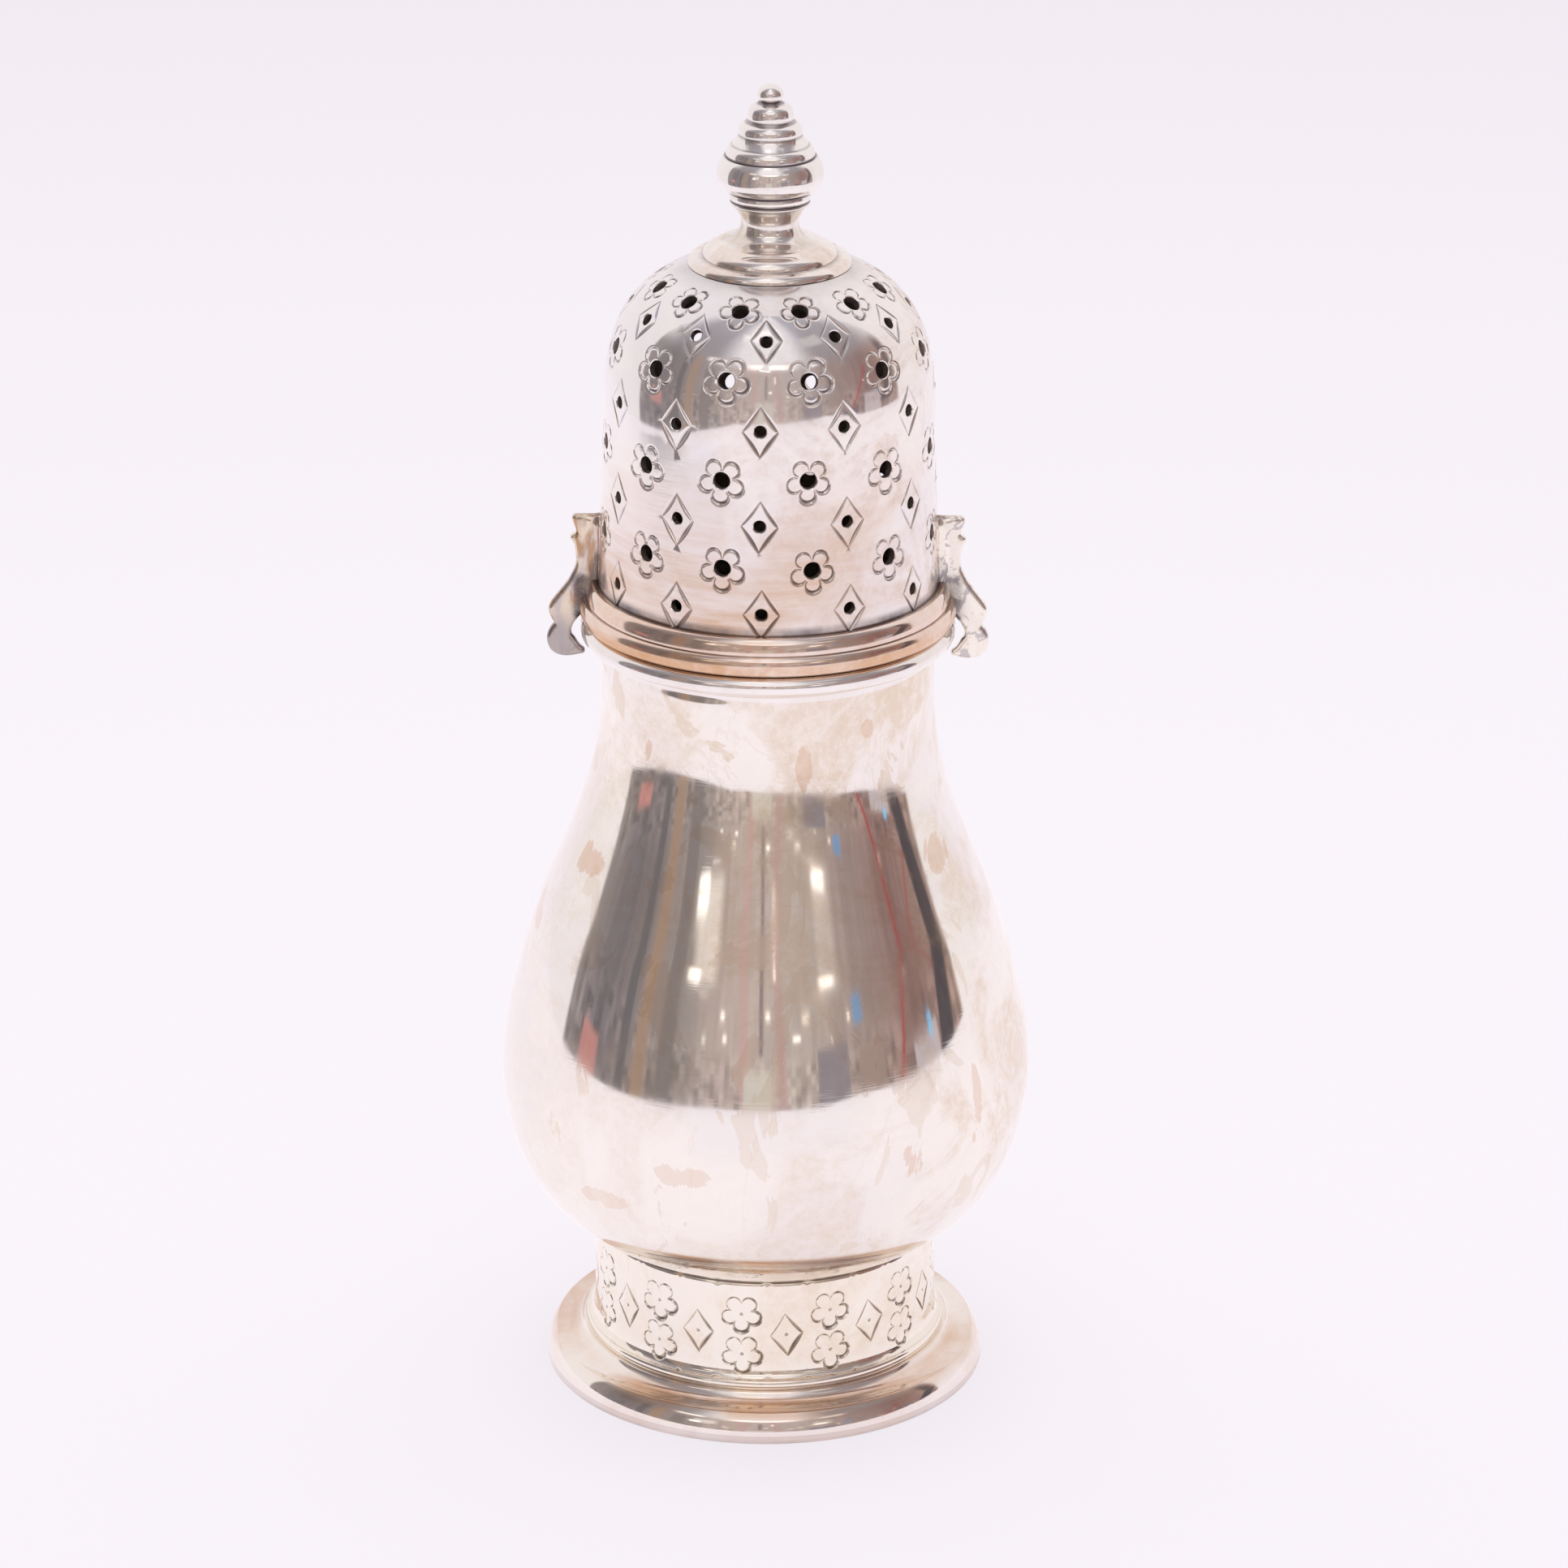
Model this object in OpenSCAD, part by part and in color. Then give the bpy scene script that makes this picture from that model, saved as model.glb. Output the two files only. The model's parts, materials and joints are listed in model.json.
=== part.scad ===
// Sugar caster: a pear-shaped vessel on a collared foot, with a pierced domed cover.
// The cover plugs into the neck and is held by two lugs that hook under the vessel's rim ring.
// Millimetres, +Z up, origin at the middle of the foot's underside, lugs on the X axis.

/* [Foot] */
// Diameter of the foot
foot_d = 66.4; // [60:0.2:74]
// Height of the upright edge wire that the foot stands on
edge_h = 1.3; // [0.8:0.1:3]
// Width of the edge wire, measured inwards
edge_w = 1.6; // [1.2:0.1:3]
// Height of the moulded flange, from the edge wire to the collar
flange_h = 4.6; // [3.6:0.1:8]
// Wall of the flange
flange_wall = 1.1; // [0.8:0.1:1.8]
// Width of the rounded lip on top of the flange
lip_w = 2.1; // [1.4:0.1:3]

/* [Collar] */
// Diameter of the engraved collar
collar_d = 51.8; // [44:0.2:54]
// Height of the collar at its outer face
collar_h = 17.3; // [12:0.1:26]
// Wall of the collar
collar_wall = 1; // [0.7:0.1:2]
// How far the bead at the collar's base stands out
collar_bead = 1.4; // [0.8:0.1:2]
// Height of the bead at the collar's base
collar_bead_h = 1.5; // [1:0.1:3]

/* [Vessel] */
// Diameter of the belly at its widest
belly_d = 79.5; // [72:0.5:96]
// Height of the widest place above the collar
belly_rise = 26.3; // [20:0.1:40]
// Diameter where the outline turns from round to hollow
shoulder_d = 66.3; // [58:0.1:70]
// Height of that turn above the belly
shoulder_rise = 27.5; // [20:0.5:40]
// Outside diameter of the neck
neck_d = 49.3; // [46:0.1:54]
// Height of the neck's straight part above the turn
neck_rise = 33; // [26:0.5:50]
// Length of the neck's straight part
neck_h = 9.5; // [8:0.1:16]
// Wall of the vessel
vessel_wall = 0.8; // [0.6:0.05:1.2]
// How far the bowl's bottom hangs below the collar's top
bowl_drop = 7.7; // [6:0.1:10]

/* [Rim ring] */
// How far the rim ring stands out from the neck
rim_w = 3; // [2.6:0.1:5]
// Height of the rim ring's round
rim_h = 3.2; // [2.4:0.1:5]
// Depth of the round, measured outwards
rim_round = 1.8; // [1.2:0.1:2.4]

/* [Cover] */
// Clearance between the rim ring and the cover ring
seat_gap = 0.2; // [0.1:0.05:0.5]
// Diameter of the dome at its foot
dome_d = 49.9; // [47:0.1:54]
// Taper of the dome's side, on the diameter
dome_taper = 1.6; // [0.4:0.1:4]
// Height of the dome's side, from its foot to its crown
dome_side_h = 33.3; // [30:0.1:50]
// Height of the dome's crown
crown_h = 20.4; // [14:0.1:30]
// Wall of the dome
dome_wall = 1.1; // [0.8:0.05:1.5]
// Height of the cover ring
ring_h = 5.4; // [4.4:0.1:8]
// How far the cover ring stands out from the dome
ring_w = 2.8; // [2.4:0.1:5]

/* [Sleeve] */
// Clearance between the sleeve and the neck
sleeve_gap = 0.25; // [0.15:0.05:0.5]
// Wall of the sleeve
sleeve_wall = 0.7; // [0.5:0.05:1]
// Depth of the sleeve below the cover ring
sleeve_drop = 9; // [6:0.5:14]
// Height of the sleeve inside the dome
sleeve_rise = 6; // [4:0.5:7]

/* [Perforations] */
// Motifs round each row
motifs = 12; // [8:1:14]
// Diameter of the hole in a flower
flower_hole = 2.5; // [1.5:0.1:3]
// Diameter of the hole in a diamond
diamond_hole = 1.8; // [1:0.1:2.5]
// Height of the lowest row above the cover ring
first_row = 3.2; // [2.6:0.1:5]
// Step between the rows on the dome's side
row_step = 6.6; // [5:0.1:8]

/* [Lugs] */
// Thickness of the lug plates
lug_t = 1.6; // [1:0.1:3]
// Height of a lug above the cover ring's underside
lug_rise = 15.4; // [12:0.1:20]
// How far a lug stands out from the cover ring
lug_reach = 4.7; // [3.4:0.1:6]
// How far a lug's waist stands out from the cover ring
lug_waist = 0.5; // [0:0.1:1]
// How far a hook reaches in under the rim ring
hook_reach = 0.8; // [0.5:0.1:1.6]
// Thickness of a hook
hook_t = 2.2; // [1.4:0.1:3]
// Clearance between a hook and the rim ring
hook_gap = 0.9; // [0.5:0.1:1.4]
// Clearance round a hook in its notch
notch_gap = 0.6; // [0.4:0.1:1]
// Width of the soldered root of a lug
root_t = 3; // [2:0.1:5]
// How far the soldered root stands out from the dome
root_w = 0.8; // [0.4:0.1:1.5]

/* [Finial] */
// Diameter of the finial's base plate
plate_d = 23.7; // [20:0.1:28]
// Height of the base plate's lower step
plate_step_h = 1.2; // [0.8:0.1:2]
// Width of the base plate's lower step
plate_step_w = 2.1; // [1:0.1:3]
// Height of the base plate's cushion
cushion_h = 2.35; // [1.6:0.05:4]
// Diameter of the stem
stem_d = 8.4; // [7.6:0.1:11]
// Height of the stem
stem_h = 5.2; // [4:0.1:8]
// Diameter of the cup under the knop
cup_d = 12.1; // [11:0.1:14]
// Height of the cup's edge
cup_h = 1.1; // [0.8:0.1:2]
// Diameter of the knop
knop_d = 15.6; // [14:0.1:20]
// Height of the knop
knop_h = 6.3; // [5:0.1:9]
// Height of the hollow cone above the knop
cone_h = 2.7; // [2:0.1:4]
// Diameter of the large bead
large_bead_d = 9.1; // [8:0.1:11]
// Height of the large bead
large_bead_h = 2.1; // [1.6:0.1:3]
// Diameter of the small bead
small_bead_d = 6.5; // [5.8:0.1:8]
// Height of the small bead
small_bead_h = 2.6; // [2:0.1:3.5]
// Diameter of the tip
tip_d = 3.8; // [3:0.1:5]
// Diameter of the stud that holds the finial
stud_d = 3; // [2:0.1:4]
// Depth of the stud inside the finial, above the base plate
stud_grip = 7; // [3:0.5:8]
// Clearance round the stud
stud_gap = 0.1; // [0.05:0.05:0.3]
// Width of the nut across its flats
nut_w = 6; // [5.5:0.5:9]
// Height of the nut
nut_h = 2.4; // [1.5:0.1:4]

/* [Hidden] */
$fn = 96;
// Points on one curve and on one small arc
curve_n = 14;
arc_n = 8;
// Amount by which a cutting shape runs past the face it cuts
over = 1;
// Depth of the small rounds on the collar's and the finial's edges, and of the seams between them
edge_round = 0.4;
seam_in = 0.3;
// Depth of the rounds on the two beads near the tip
bead_round = 0.6;
// Angle that a small round turns through above and below its middle, and the knop likewise
round_turn = 80;
knop_turn = 85;

silver = [0.86, 0.84, 0.81];
warm_silver = [0.84, 0.78, 0.72];
dull_silver = [0.72, 0.69, 0.64];
brass = [0.74, 0.62, 0.36];

// Heights, stacked from the foot upwards
collar_z = edge_h + flange_h;
seat_z = collar_z + collar_h;
belly_z = seat_z + belly_rise;
shoulder_z = belly_z + shoulder_rise;
neck_z = shoulder_z + neck_rise;
mouth_z = neck_z + neck_h;
cover_z = mouth_z + seat_gap;
ring_top_z = cover_z + ring_h;
crown_z = cover_z + dome_side_h;
plate_z = crown_z + crown_h;
stem_z = plate_z + plate_step_h + cushion_h;

// Radii
foot_r = foot_d / 2;
collar_r = collar_d / 2;
belly_r = belly_d / 2;
shoulder_r = shoulder_d / 2;
neck_r = neck_d / 2;
rim_r = neck_r + rim_w;
dome_r = dome_d / 2;
dome_top_r = dome_r - dome_taper / 2;
ring_r = dome_r + ring_w;
plate_r = plate_d / 2;
bore_r = stud_d / 2 + stud_gap;
sleeve_r = neck_r - vessel_wall - sleeve_gap;

// The vessel meets the collar on a cone of this slope
seat_slope = 0.56;
// The vessel's outline leans by this much, inwards for each millimetre up, where it turns hollow
shoulder_lean = 0.43;
// The cover's and the collar's fits
rim_root_r = rim_r - rim_round;
rim_mid_z = mouth_z - rim_h / 2;
hook_top_z = mouth_z - rim_h - hook_gap;
hook_z = hook_top_z - hook_t;
hook_tip_r = rim_r - hook_reach;
lobe_r = ring_r + lug_reach;
waist_r = ring_r + lug_waist;
// Places of the crown's rows, along its curve
crown_rows = [0.08, 0.34, 0.59, 0.8];
// Turn of each row off its even place, in degrees, from the lowest row up, as marking out by hand left it
row_turns = [-1.9, -0.6, -2.6, -1.7, -3, -0.4, -1.5, -0.3];
side_rows = floor((dome_side_h - ring_h - first_row) / row_step) + 1;

// Cubic curve through p[0] and p[3], with p[1] and p[2] as its handles
function curve(p, n = curve_n) = [
    for (i = [0 : n])
        let (t = i / n, u = 1 - t)
        u * u * u * p[0] + 3 * t * u * u * p[1] + 3 * t * t * u * p[2] + t * t * t * p[3]
];

// Direction of that cubic curve at t
function curve_way(p, t) =
    3 * (1 - t) * (1 - t) * (p[1] - p[0]) + 6 * t * (1 - t) * (p[2] - p[1]) + 3 * t * t * (p[3] - p[2]);

// Elliptical arc about c, from one angle to another
function arc(c, a, b, from, to, n = arc_n) = [
    for (i = [0 : n])
        let (w = from + (to - from) * i / n)
        c + [a * cos(w), b * sin(w)]
];

// Round of height h that stands on height z, outermost at radius r
function bead(r, z, h, depth = edge_round, turn = round_turn) =
    arc([r - depth, z + h / 2], depth, h / 2, -turn, turn);

// The same path, moved to its left by d
function beside(p, d) = [
    for (i = [0 : len(p) - 1])
        let (way = p[min(i + 1, len(p) - 1)] - p[max(i - 1, 0)])
        let (q = p[i] + d * [-way.y, way.x] / norm(way))
        [max(0, q.x), q.y]
];

function backwards(p) = [for (i = [len(p) - 1 : -1 : 0]) p[i]];

// Wall of revolution that lies to the left of a path
module shell(path, wall) {
    rotate_extrude()
        polygon(concat(path, backwards(beside(path, wall))));
}

// Outlines

// The vessel from the middle of its bottom to its mouth
bowl_edge_r = collar_r - collar_wall;
bowl_edge_z = seat_z - collar_wall * seat_slope;
bowl_z = seat_z - bowl_drop;
bowl_curve = [
    [0, bowl_z],
    [bowl_edge_r * 0.4, bowl_z],
    [bowl_edge_r * 0.7, bowl_edge_z - bowl_edge_r * 0.3 * seat_slope],
    [bowl_edge_r, bowl_edge_z]
];
belly_low_curve = [
    [collar_r, seat_z],
    [collar_r + 8.5, seat_z + 8.5 * seat_slope],
    [belly_r, belly_z - 14.3],
    [belly_r, belly_z]
];
belly_high_curve = [
    [belly_r, belly_z],
    [belly_r, belly_z + 8],
    [shoulder_r + 4 * shoulder_lean, shoulder_z - 4],
    [shoulder_r, shoulder_z]
];
neck_curve = [
    [shoulder_r, shoulder_z],
    [shoulder_r - 18 * shoulder_lean, shoulder_z + 18],
    [neck_r, neck_z - 8.8],
    [neck_r, neck_z]
];
vessel_path = concat(
    curve(bowl_curve),
    curve(belly_low_curve),
    [for (i = [1 : curve_n]) curve(belly_high_curve)[i]],
    [for (i = [1 : curve_n]) curve(neck_curve)[i]],
    [[neck_r, mouth_z]]
);

// The dome from its foot to the hole for the stud
crown_curve = [
    [dome_top_r, crown_z],
    [dome_top_r, crown_z + crown_h * 0.54],
    [dome_top_r * 0.85, plate_z - crown_h * 0.16],
    [plate_r, plate_z]
];
dome_path = concat(
    [[dome_r, cover_z], [dome_r, ring_top_z]],
    curve(crown_curve),
    [[bore_r, plate_z]]
);

// The cover ring's moulding: a large round below and a quarter round above it
round_h = ring_h * 0.54;
ring_waist_r = ring_r - 0.8;
ring_path = concat(
    [[dome_r, cover_z]],
    arc([ring_waist_r, cover_z + round_h / 2], ring_r - ring_waist_r, round_h / 2, -90, 90),
    arc([dome_r + 0.6, cover_z + round_h], ring_waist_r - dome_r - 0.8, ring_h - round_h, 0, 90),
    [[dome_r, ring_top_z]]
);

// Everything that the cover fills, up to its crown
module cover_core() {
    rotate_extrude()
        polygon(concat(
            [[0, cover_z]], ring_path, [for (p = dome_path) if (p.y > ring_top_z) p], [[0, plate_z]]
        ));
}

// A lug's plate in radius and height: two lobes outside, a hook below, a cut-out round the rim ring
lug_top_z = cover_z + lug_rise;
cusp_z = mouth_z - 1.3;
lug_outline = concat(
    [[dome_r - over, lug_top_z], [waist_r - 0.8, lug_top_z]],
    curve([
        [waist_r + 0.5, lug_top_z - 0.9], [waist_r + 0.5, lug_top_z - 2.5],
        [waist_r - 0.4, lug_top_z - 5.5], [waist_r + 0.1, lug_top_z - 8.2]
    ], arc_n),
    curve([
        [waist_r + 1.2, lug_top_z - 10.7], [waist_r + 2.7, lug_top_z - 12.8],
        [lobe_r + 0.3, cusp_z + 2.6], [lobe_r - 1, cusp_z]
    ], arc_n),
    curve([
        [lobe_r - 0.6, cusp_z - 0.4], [lobe_r + 0.8, hook_z + 4],
        [lobe_r + 0.1, hook_z], [lobe_r - 2.4, hook_z]
    ], arc_n),
    [[hook_tip_r + 1.4, hook_z], [hook_tip_r, hook_z + 0.6], [hook_tip_r, hook_top_z - 0.2]],
    arc([rim_root_r, rim_mid_z], rim_round + hook_gap, rim_h / 2 + hook_gap, -60, 40),
    [[ring_waist_r - over, cover_z], [dome_r - over, cover_z]]
);

// Flange: a lip over the edge wire, a hollow, then the seat of the collar
flange_seat_r = collar_r + collar_bead + 0.4;
lip_top_z = edge_h + flange_h * 0.52;
hollow_r = foot_r - lip_w;
flange_path = concat(
    arc([hollow_r, edge_h], lip_w, lip_top_z - edge_h, 0, 90),
    arc([hollow_r, collar_z], hollow_r - flange_seat_r, collar_z - lip_top_z + 0.2, -90, -180),
    [[collar_r - collar_wall, collar_z]]
);

// Sub-parts of the vessel

module body_shell() {
    color(silver)
        shell(vessel_path, vessel_wall);
}

module rim_ring() {
    section = concat(
        [[neck_r, mouth_z]],
        arc([rim_root_r, rim_mid_z], rim_round, rim_h / 2, 90, -90),
        arc([rim_root_r, rim_mid_z - rim_h], rim_root_r - neck_r, rim_h / 2, 90, 180)
    );
    notch_w = lug_t + 2 * notch_gap;
    color(silver)
        difference() {
            rotate_extrude()
                polygon(section);
            for (side = [0, 180])
                rotate([0, 0, side])
                    translate([hook_tip_r - notch_gap, -notch_w / 2, rim_mid_z - 2 * rim_h])
                        cube([rim_w + over, notch_w, 4 * rim_h]);
        }
}

module foot_collar() {
    flare_z = collar_z + collar_bead_h;
    bead_r = collar_r + collar_bead;
    flare_h = 2;
    outer = concat(
        [[bead_r - seam_in, collar_z]],
        bead(bead_r, collar_z, collar_bead_h),
        arc([bead_r - edge_round, flare_z + flare_h], collar_bead - edge_round, flare_h, -90, -180),
        [[collar_r, seat_z]]
    );
    inner = [[bowl_edge_r, bowl_edge_z], [bowl_edge_r, collar_z]];
    color(silver)
        rotate_extrude()
            polygon(concat(outer, inner));
}

module foot_flange() {
    under = [
        [foot_r - edge_w, edge_h],
        [hollow_r - 0.4, lip_top_z - flange_wall],
        [flange_seat_r - flange_wall, collar_z - flange_wall],
        [collar_r - collar_wall, collar_z - flange_wall]
    ];
    color(warm_silver)
        rotate_extrude()
            polygon(concat(flange_path, backwards(under)));
}

module foot_edge() {
    color(warm_silver)
        difference() {
            cylinder(r = foot_r, h = edge_h);
            translate([0, 0, -over])
                cylinder(r = foot_r - edge_w, h = edge_h + 2 * over);
        }
}

// Sub-parts of the cover

module cover_sleeve() {
    color(dull_silver)
        translate([0, 0, cover_z - sleeve_drop])
            difference() {
                cylinder(r = sleeve_r, h = sleeve_drop + sleeve_rise);
                translate([0, 0, -over])
                    cylinder(r = sleeve_r - sleeve_wall, h = sleeve_drop + sleeve_rise + 2 * over);
            }
}

// A hole that a lug's root would close is left out
function behind_lug(angle, at, d) =
    abs(at.x * sin(angle)) < (root_t + d) / 2 && at.y - d < lug_top_z;

// One row of holes at a point of the dome's outline, each square to the wall
module hole_row(at, way, d, turn) {
    tilt = atan2(way.x, way.y);
    for (i = [0 : motifs - 1]) {
        angle = turn + i * 360 / motifs;
        if (!behind_lug(angle, at, d))
            rotate([0, 0, angle])
                translate([at.x, 0, at.y])
                    rotate([0, 90 + tilt, 0])
                        cylinder(d = d, h = 5 * dome_wall, center = true);
    }
}

module cover_dome() {
    pitch = 360 / motifs;
    rows = side_rows + len(crown_rows);
    side_way = [dome_top_r - dome_r, crown_z - ring_top_z];
    color(silver)
        difference() {
            shell(dome_path, dome_wall);
            for (row = [0 : rows - 1]) {
                diamonds = row % 2 == 0;
                turn = (diamonds ? 0 : pitch / 2) + row_turns[row % len(row_turns)];
                d = diamonds ? diamond_hole : flower_hole;
                height = first_row + row * row_step;
                t = crown_rows[max(0, row - side_rows)];
                if (row < side_rows)
                    hole_row(
                        [dome_r, ring_top_z] + side_way * height / side_way.y,
                        side_way, d, turn
                    );
                else
                    hole_row(
                        curve([for (p = crown_curve) p], 100)[round(t * 100)],
                        curve_way(crown_curve, t), d, turn
                    );
            }
        }
}

module cover_ring() {
    color(warm_silver)
        rotate_extrude()
            polygon(ring_path);
}

// A lug on the +X side, with its soldered root
module lug() {
    difference() {
        union() {
            rotate([90, 0, 0])
                linear_extrude(lug_t, center = true)
                    polygon(lug_outline);
            translate([dome_r - 2 * root_w, -root_t / 2, ring_top_z])
                cube([3 * root_w, root_t, lug_top_z - ring_top_z]);
        }
        cover_core();
    }
}

module lug_left() {
    color(dull_silver)
        mirror([1, 0, 0])
            lug();
}

module lug_right() {
    color(dull_silver)
        lug();
}

module finial_plate() {
    cushion_r = plate_r - plate_step_w;
    step_z = plate_z + plate_step_h;
    outline = concat(
        [[bore_r, plate_z], [plate_r - seam_in, plate_z]],
        bead(plate_r, plate_z, plate_step_h),
        [[cushion_r, step_z]],
        arc([cushion_r - 0.9, step_z + 0.7], 1, 0.8, -40, 70),
        curve([
            [cushion_r - 1.2, stem_z - 0.75], [cushion_r - 2.4, stem_z - 0.3],
            [stem_d / 2 + 2.4, stem_z - 0.1], [stem_d / 2 + 1.2, stem_z]
        ], arc_n),
        [[bore_r, stem_z]]
    );
    color(warm_silver)
        rotate_extrude()
            polygon(outline);
}

module finial_knop() {
    stem_r = stem_d / 2;
    cup_r = cup_d / 2;
    knop_z = stem_z + stem_h + cup_h;
    cone_z = knop_z + knop_h;
    large_z = cone_z + cone_h;
    small_z = large_z + large_bead_h;
    tip_z = small_z + small_bead_h;
    tip_r = tip_d / 2;
    outline = concat(
        [[0, stem_z + stud_grip], [bore_r, stem_z + stud_grip], [bore_r, stem_z]],
        curve([
            [stem_r + 1.2, stem_z], [stem_r + 0.2, stem_z + 0.4],
            [stem_r, stem_z + 1.4], [stem_r, stem_z + 2.4]
        ], arc_n),
        curve([
            [stem_r, stem_z + 2.4], [stem_r, stem_z + 3.6],
            [cup_r - 2 * edge_round, stem_z + stem_h - 1], [cup_r - edge_round, stem_z + stem_h]
        ], arc_n),
        bead(cup_r, stem_z + stem_h, cup_h),
        [[cup_r - seam_in, knop_z]],
        bead(knop_d / 2, knop_z, knop_h, knop_d / 2 - cup_r + seam_in, knop_turn),
        [[cup_r - seam_in, cone_z], [cup_r - seam_in, cone_z + edge_round]],
        curve([
            [cup_r - seam_in - edge_round, cone_z + edge_round],
            [cup_r - 3 * edge_round, cone_z + 3 * edge_round],
            [large_bead_d / 2 - 0.2, cone_z + cone_h - 0.8], [large_bead_d / 2 - 0.2, large_z]
        ], arc_n),
        bead(large_bead_d / 2, large_z, large_bead_h, bead_round),
        bead(small_bead_d / 2, small_z, small_bead_h, bead_round),
        [[tip_r - 0.5, tip_z]],
        arc([0, tip_z + tip_r * 0.7], tip_r, tip_r * 0.9, -40, 90)
    );
    color(silver)
        rotate_extrude()
            polygon(outline);
}

// The nut's face bears on the inside of the crown, and the stud runs through it
nut_z = plate_z - dome_wall - nut_h;

module finial_stud() {
    color(brass)
        translate([0, 0, nut_z - 1])
            cylinder(d = stud_d, h = stem_z + stud_grip - nut_z + 1);
}

module finial_nut() {
    color(brass)
        translate([0, 0, nut_z])
            difference() {
                cylinder(r = nut_w / sqrt(3), h = nut_h, $fn = 6);
                translate([0, 0, -over])
                    cylinder(r = bore_r, h = nut_h + 2 * over, $fn = 96);
            }
}

body_shell();
rim_ring();
foot_collar();
foot_flange();
foot_edge();
cover_sleeve();
cover_dome();
cover_ring();
lug_left();
lug_right();
finial_plate();
finial_knop();
finial_stud();
finial_nut();
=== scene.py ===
"""Looks of a pierced sugar caster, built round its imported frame.

Everything is in metres and in the frame's axes: +Z up, the front towards -Y, the lugs on -X and +X.
"""

import json
import logging
import math
from dataclasses import dataclass, replace
from enum import Enum, IntEnum
from random import Random
from typing import Iterable, Optional, Sequence, Union

import bpy
import numpy as np
from mathutils import Matrix, Vector
from mathutils.geometry import delaunay_2d_cdt

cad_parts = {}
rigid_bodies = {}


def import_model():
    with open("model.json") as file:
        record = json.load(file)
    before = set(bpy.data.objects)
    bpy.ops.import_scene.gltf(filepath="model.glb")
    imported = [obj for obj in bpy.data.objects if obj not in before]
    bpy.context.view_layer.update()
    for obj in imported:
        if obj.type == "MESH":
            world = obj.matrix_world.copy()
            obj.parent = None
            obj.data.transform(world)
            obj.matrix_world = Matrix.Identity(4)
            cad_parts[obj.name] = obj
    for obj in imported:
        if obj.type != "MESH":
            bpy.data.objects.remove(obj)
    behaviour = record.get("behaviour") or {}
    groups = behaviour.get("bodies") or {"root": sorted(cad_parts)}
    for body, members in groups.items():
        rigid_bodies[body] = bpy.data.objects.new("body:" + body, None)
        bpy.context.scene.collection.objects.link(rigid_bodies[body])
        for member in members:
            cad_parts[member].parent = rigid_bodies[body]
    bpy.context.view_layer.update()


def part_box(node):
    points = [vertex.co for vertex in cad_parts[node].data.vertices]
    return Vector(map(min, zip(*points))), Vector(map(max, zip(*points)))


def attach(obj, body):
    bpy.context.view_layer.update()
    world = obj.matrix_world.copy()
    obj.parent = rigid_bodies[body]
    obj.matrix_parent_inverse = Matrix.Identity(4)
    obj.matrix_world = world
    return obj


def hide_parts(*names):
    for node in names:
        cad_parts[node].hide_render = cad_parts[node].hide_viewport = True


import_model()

MM = 0.001
FULL_TURN = 2 * math.pi
LOG = logging.getLogger("caster")
Array = np.ndarray
Colour = tuple[float, float, float]
Point = Sequence[float]
Material = bpy.types.Material
Piece = bpy.types.Object


class Body(Enum):
    """Bodies of the frame that pieces ride on."""

    VESSEL = "vessel"
    SLEEVE = "sleeve"
    COVER = "cover"


class Slot(Enum):
    """Material slots of the record."""

    POLISHED = "polished_silver"
    TARNISHED = "tarnished_silver"
    SOLDERED = "soldered_silver"
    PLAIN = "plain_silver"
    BRASS = "brass"


class FaceKind(IntEnum):
    """What a face of an engraved wall is, which decides how it is shaded."""

    SKIN = 0
    CUT = 1


class Figure(Enum):
    """Motifs that are cut into the dome and the collar."""

    FLOWER = "flower"
    DIAMOND = "diamond"


# Outlines


def bezier(p0: Point, p1: Point, p2: Point, p3: Point, steps: int = 28) -> Array:
    """Points on a cubic curve.

    Args:
        p0: Start of the curve.
        p1: Handle of the start.
        p2: Handle of the end.
        p3: End of the curve.
        steps: Number of stretches.

    Returns:
        An array of steps + 1 points.
    """
    t = np.linspace(0, 1, steps + 1)[:, None]
    a, b, c, d = (np.asarray(p, float) for p in (p0, p1, p2, p3))
    return (1 - t) ** 3 * a + 3 * t * (1 - t) ** 2 * b + 3 * t * t * (1 - t) * c + t ** 3 * d


def arc(centre: Point, a: float, b: float, start: float, end: float, steps: int = 14) -> Array:
    """Points on an elliptical arc.

    Args:
        centre: Middle of the ellipse.
        a: Half axis along the radius.
        b: Half axis along the height.
        start: First angle in degrees.
        end: Last angle in degrees.
        steps: Number of stretches.

    Returns:
        An array of steps + 1 points.
    """
    w = np.radians(np.linspace(start, end, steps + 1))
    return np.stack([centre[0] + a * np.cos(w), centre[1] + b * np.sin(w)], 1)


def rolled(r: float, z: float, radius: float, start: float, end: float, steps: int = 16) -> Array:
    """A rounded edge from a point inwards and upwards.

    Args:
        r: Radius of the first point.
        z: Height of the first point.
        radius: Radius of the rounding.
        start: Elevation of the normal at the first point, in degrees.
        end: Elevation of the normal at the last point, in degrees.
        steps: Number of stretches.

    Returns:
        An array of steps + 1 points.
    """
    lean = math.radians(start)
    return arc((r - radius * math.cos(lean), z - radius * math.sin(lean)), radius, radius, start, end, steps)


def chain(*parts: Iterable) -> Array:
    """One path from several, without repeated points.

    Args:
        parts: The paths, in order.

    Returns:
        The points.
    """
    path = np.vstack([np.atleast_2d(np.asarray(p, float)) for p in parts])
    apart = np.linalg.norm(np.diff(path, axis=0), axis=1) > 1e-7
    return path[np.concatenate([[True], apart])]


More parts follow.
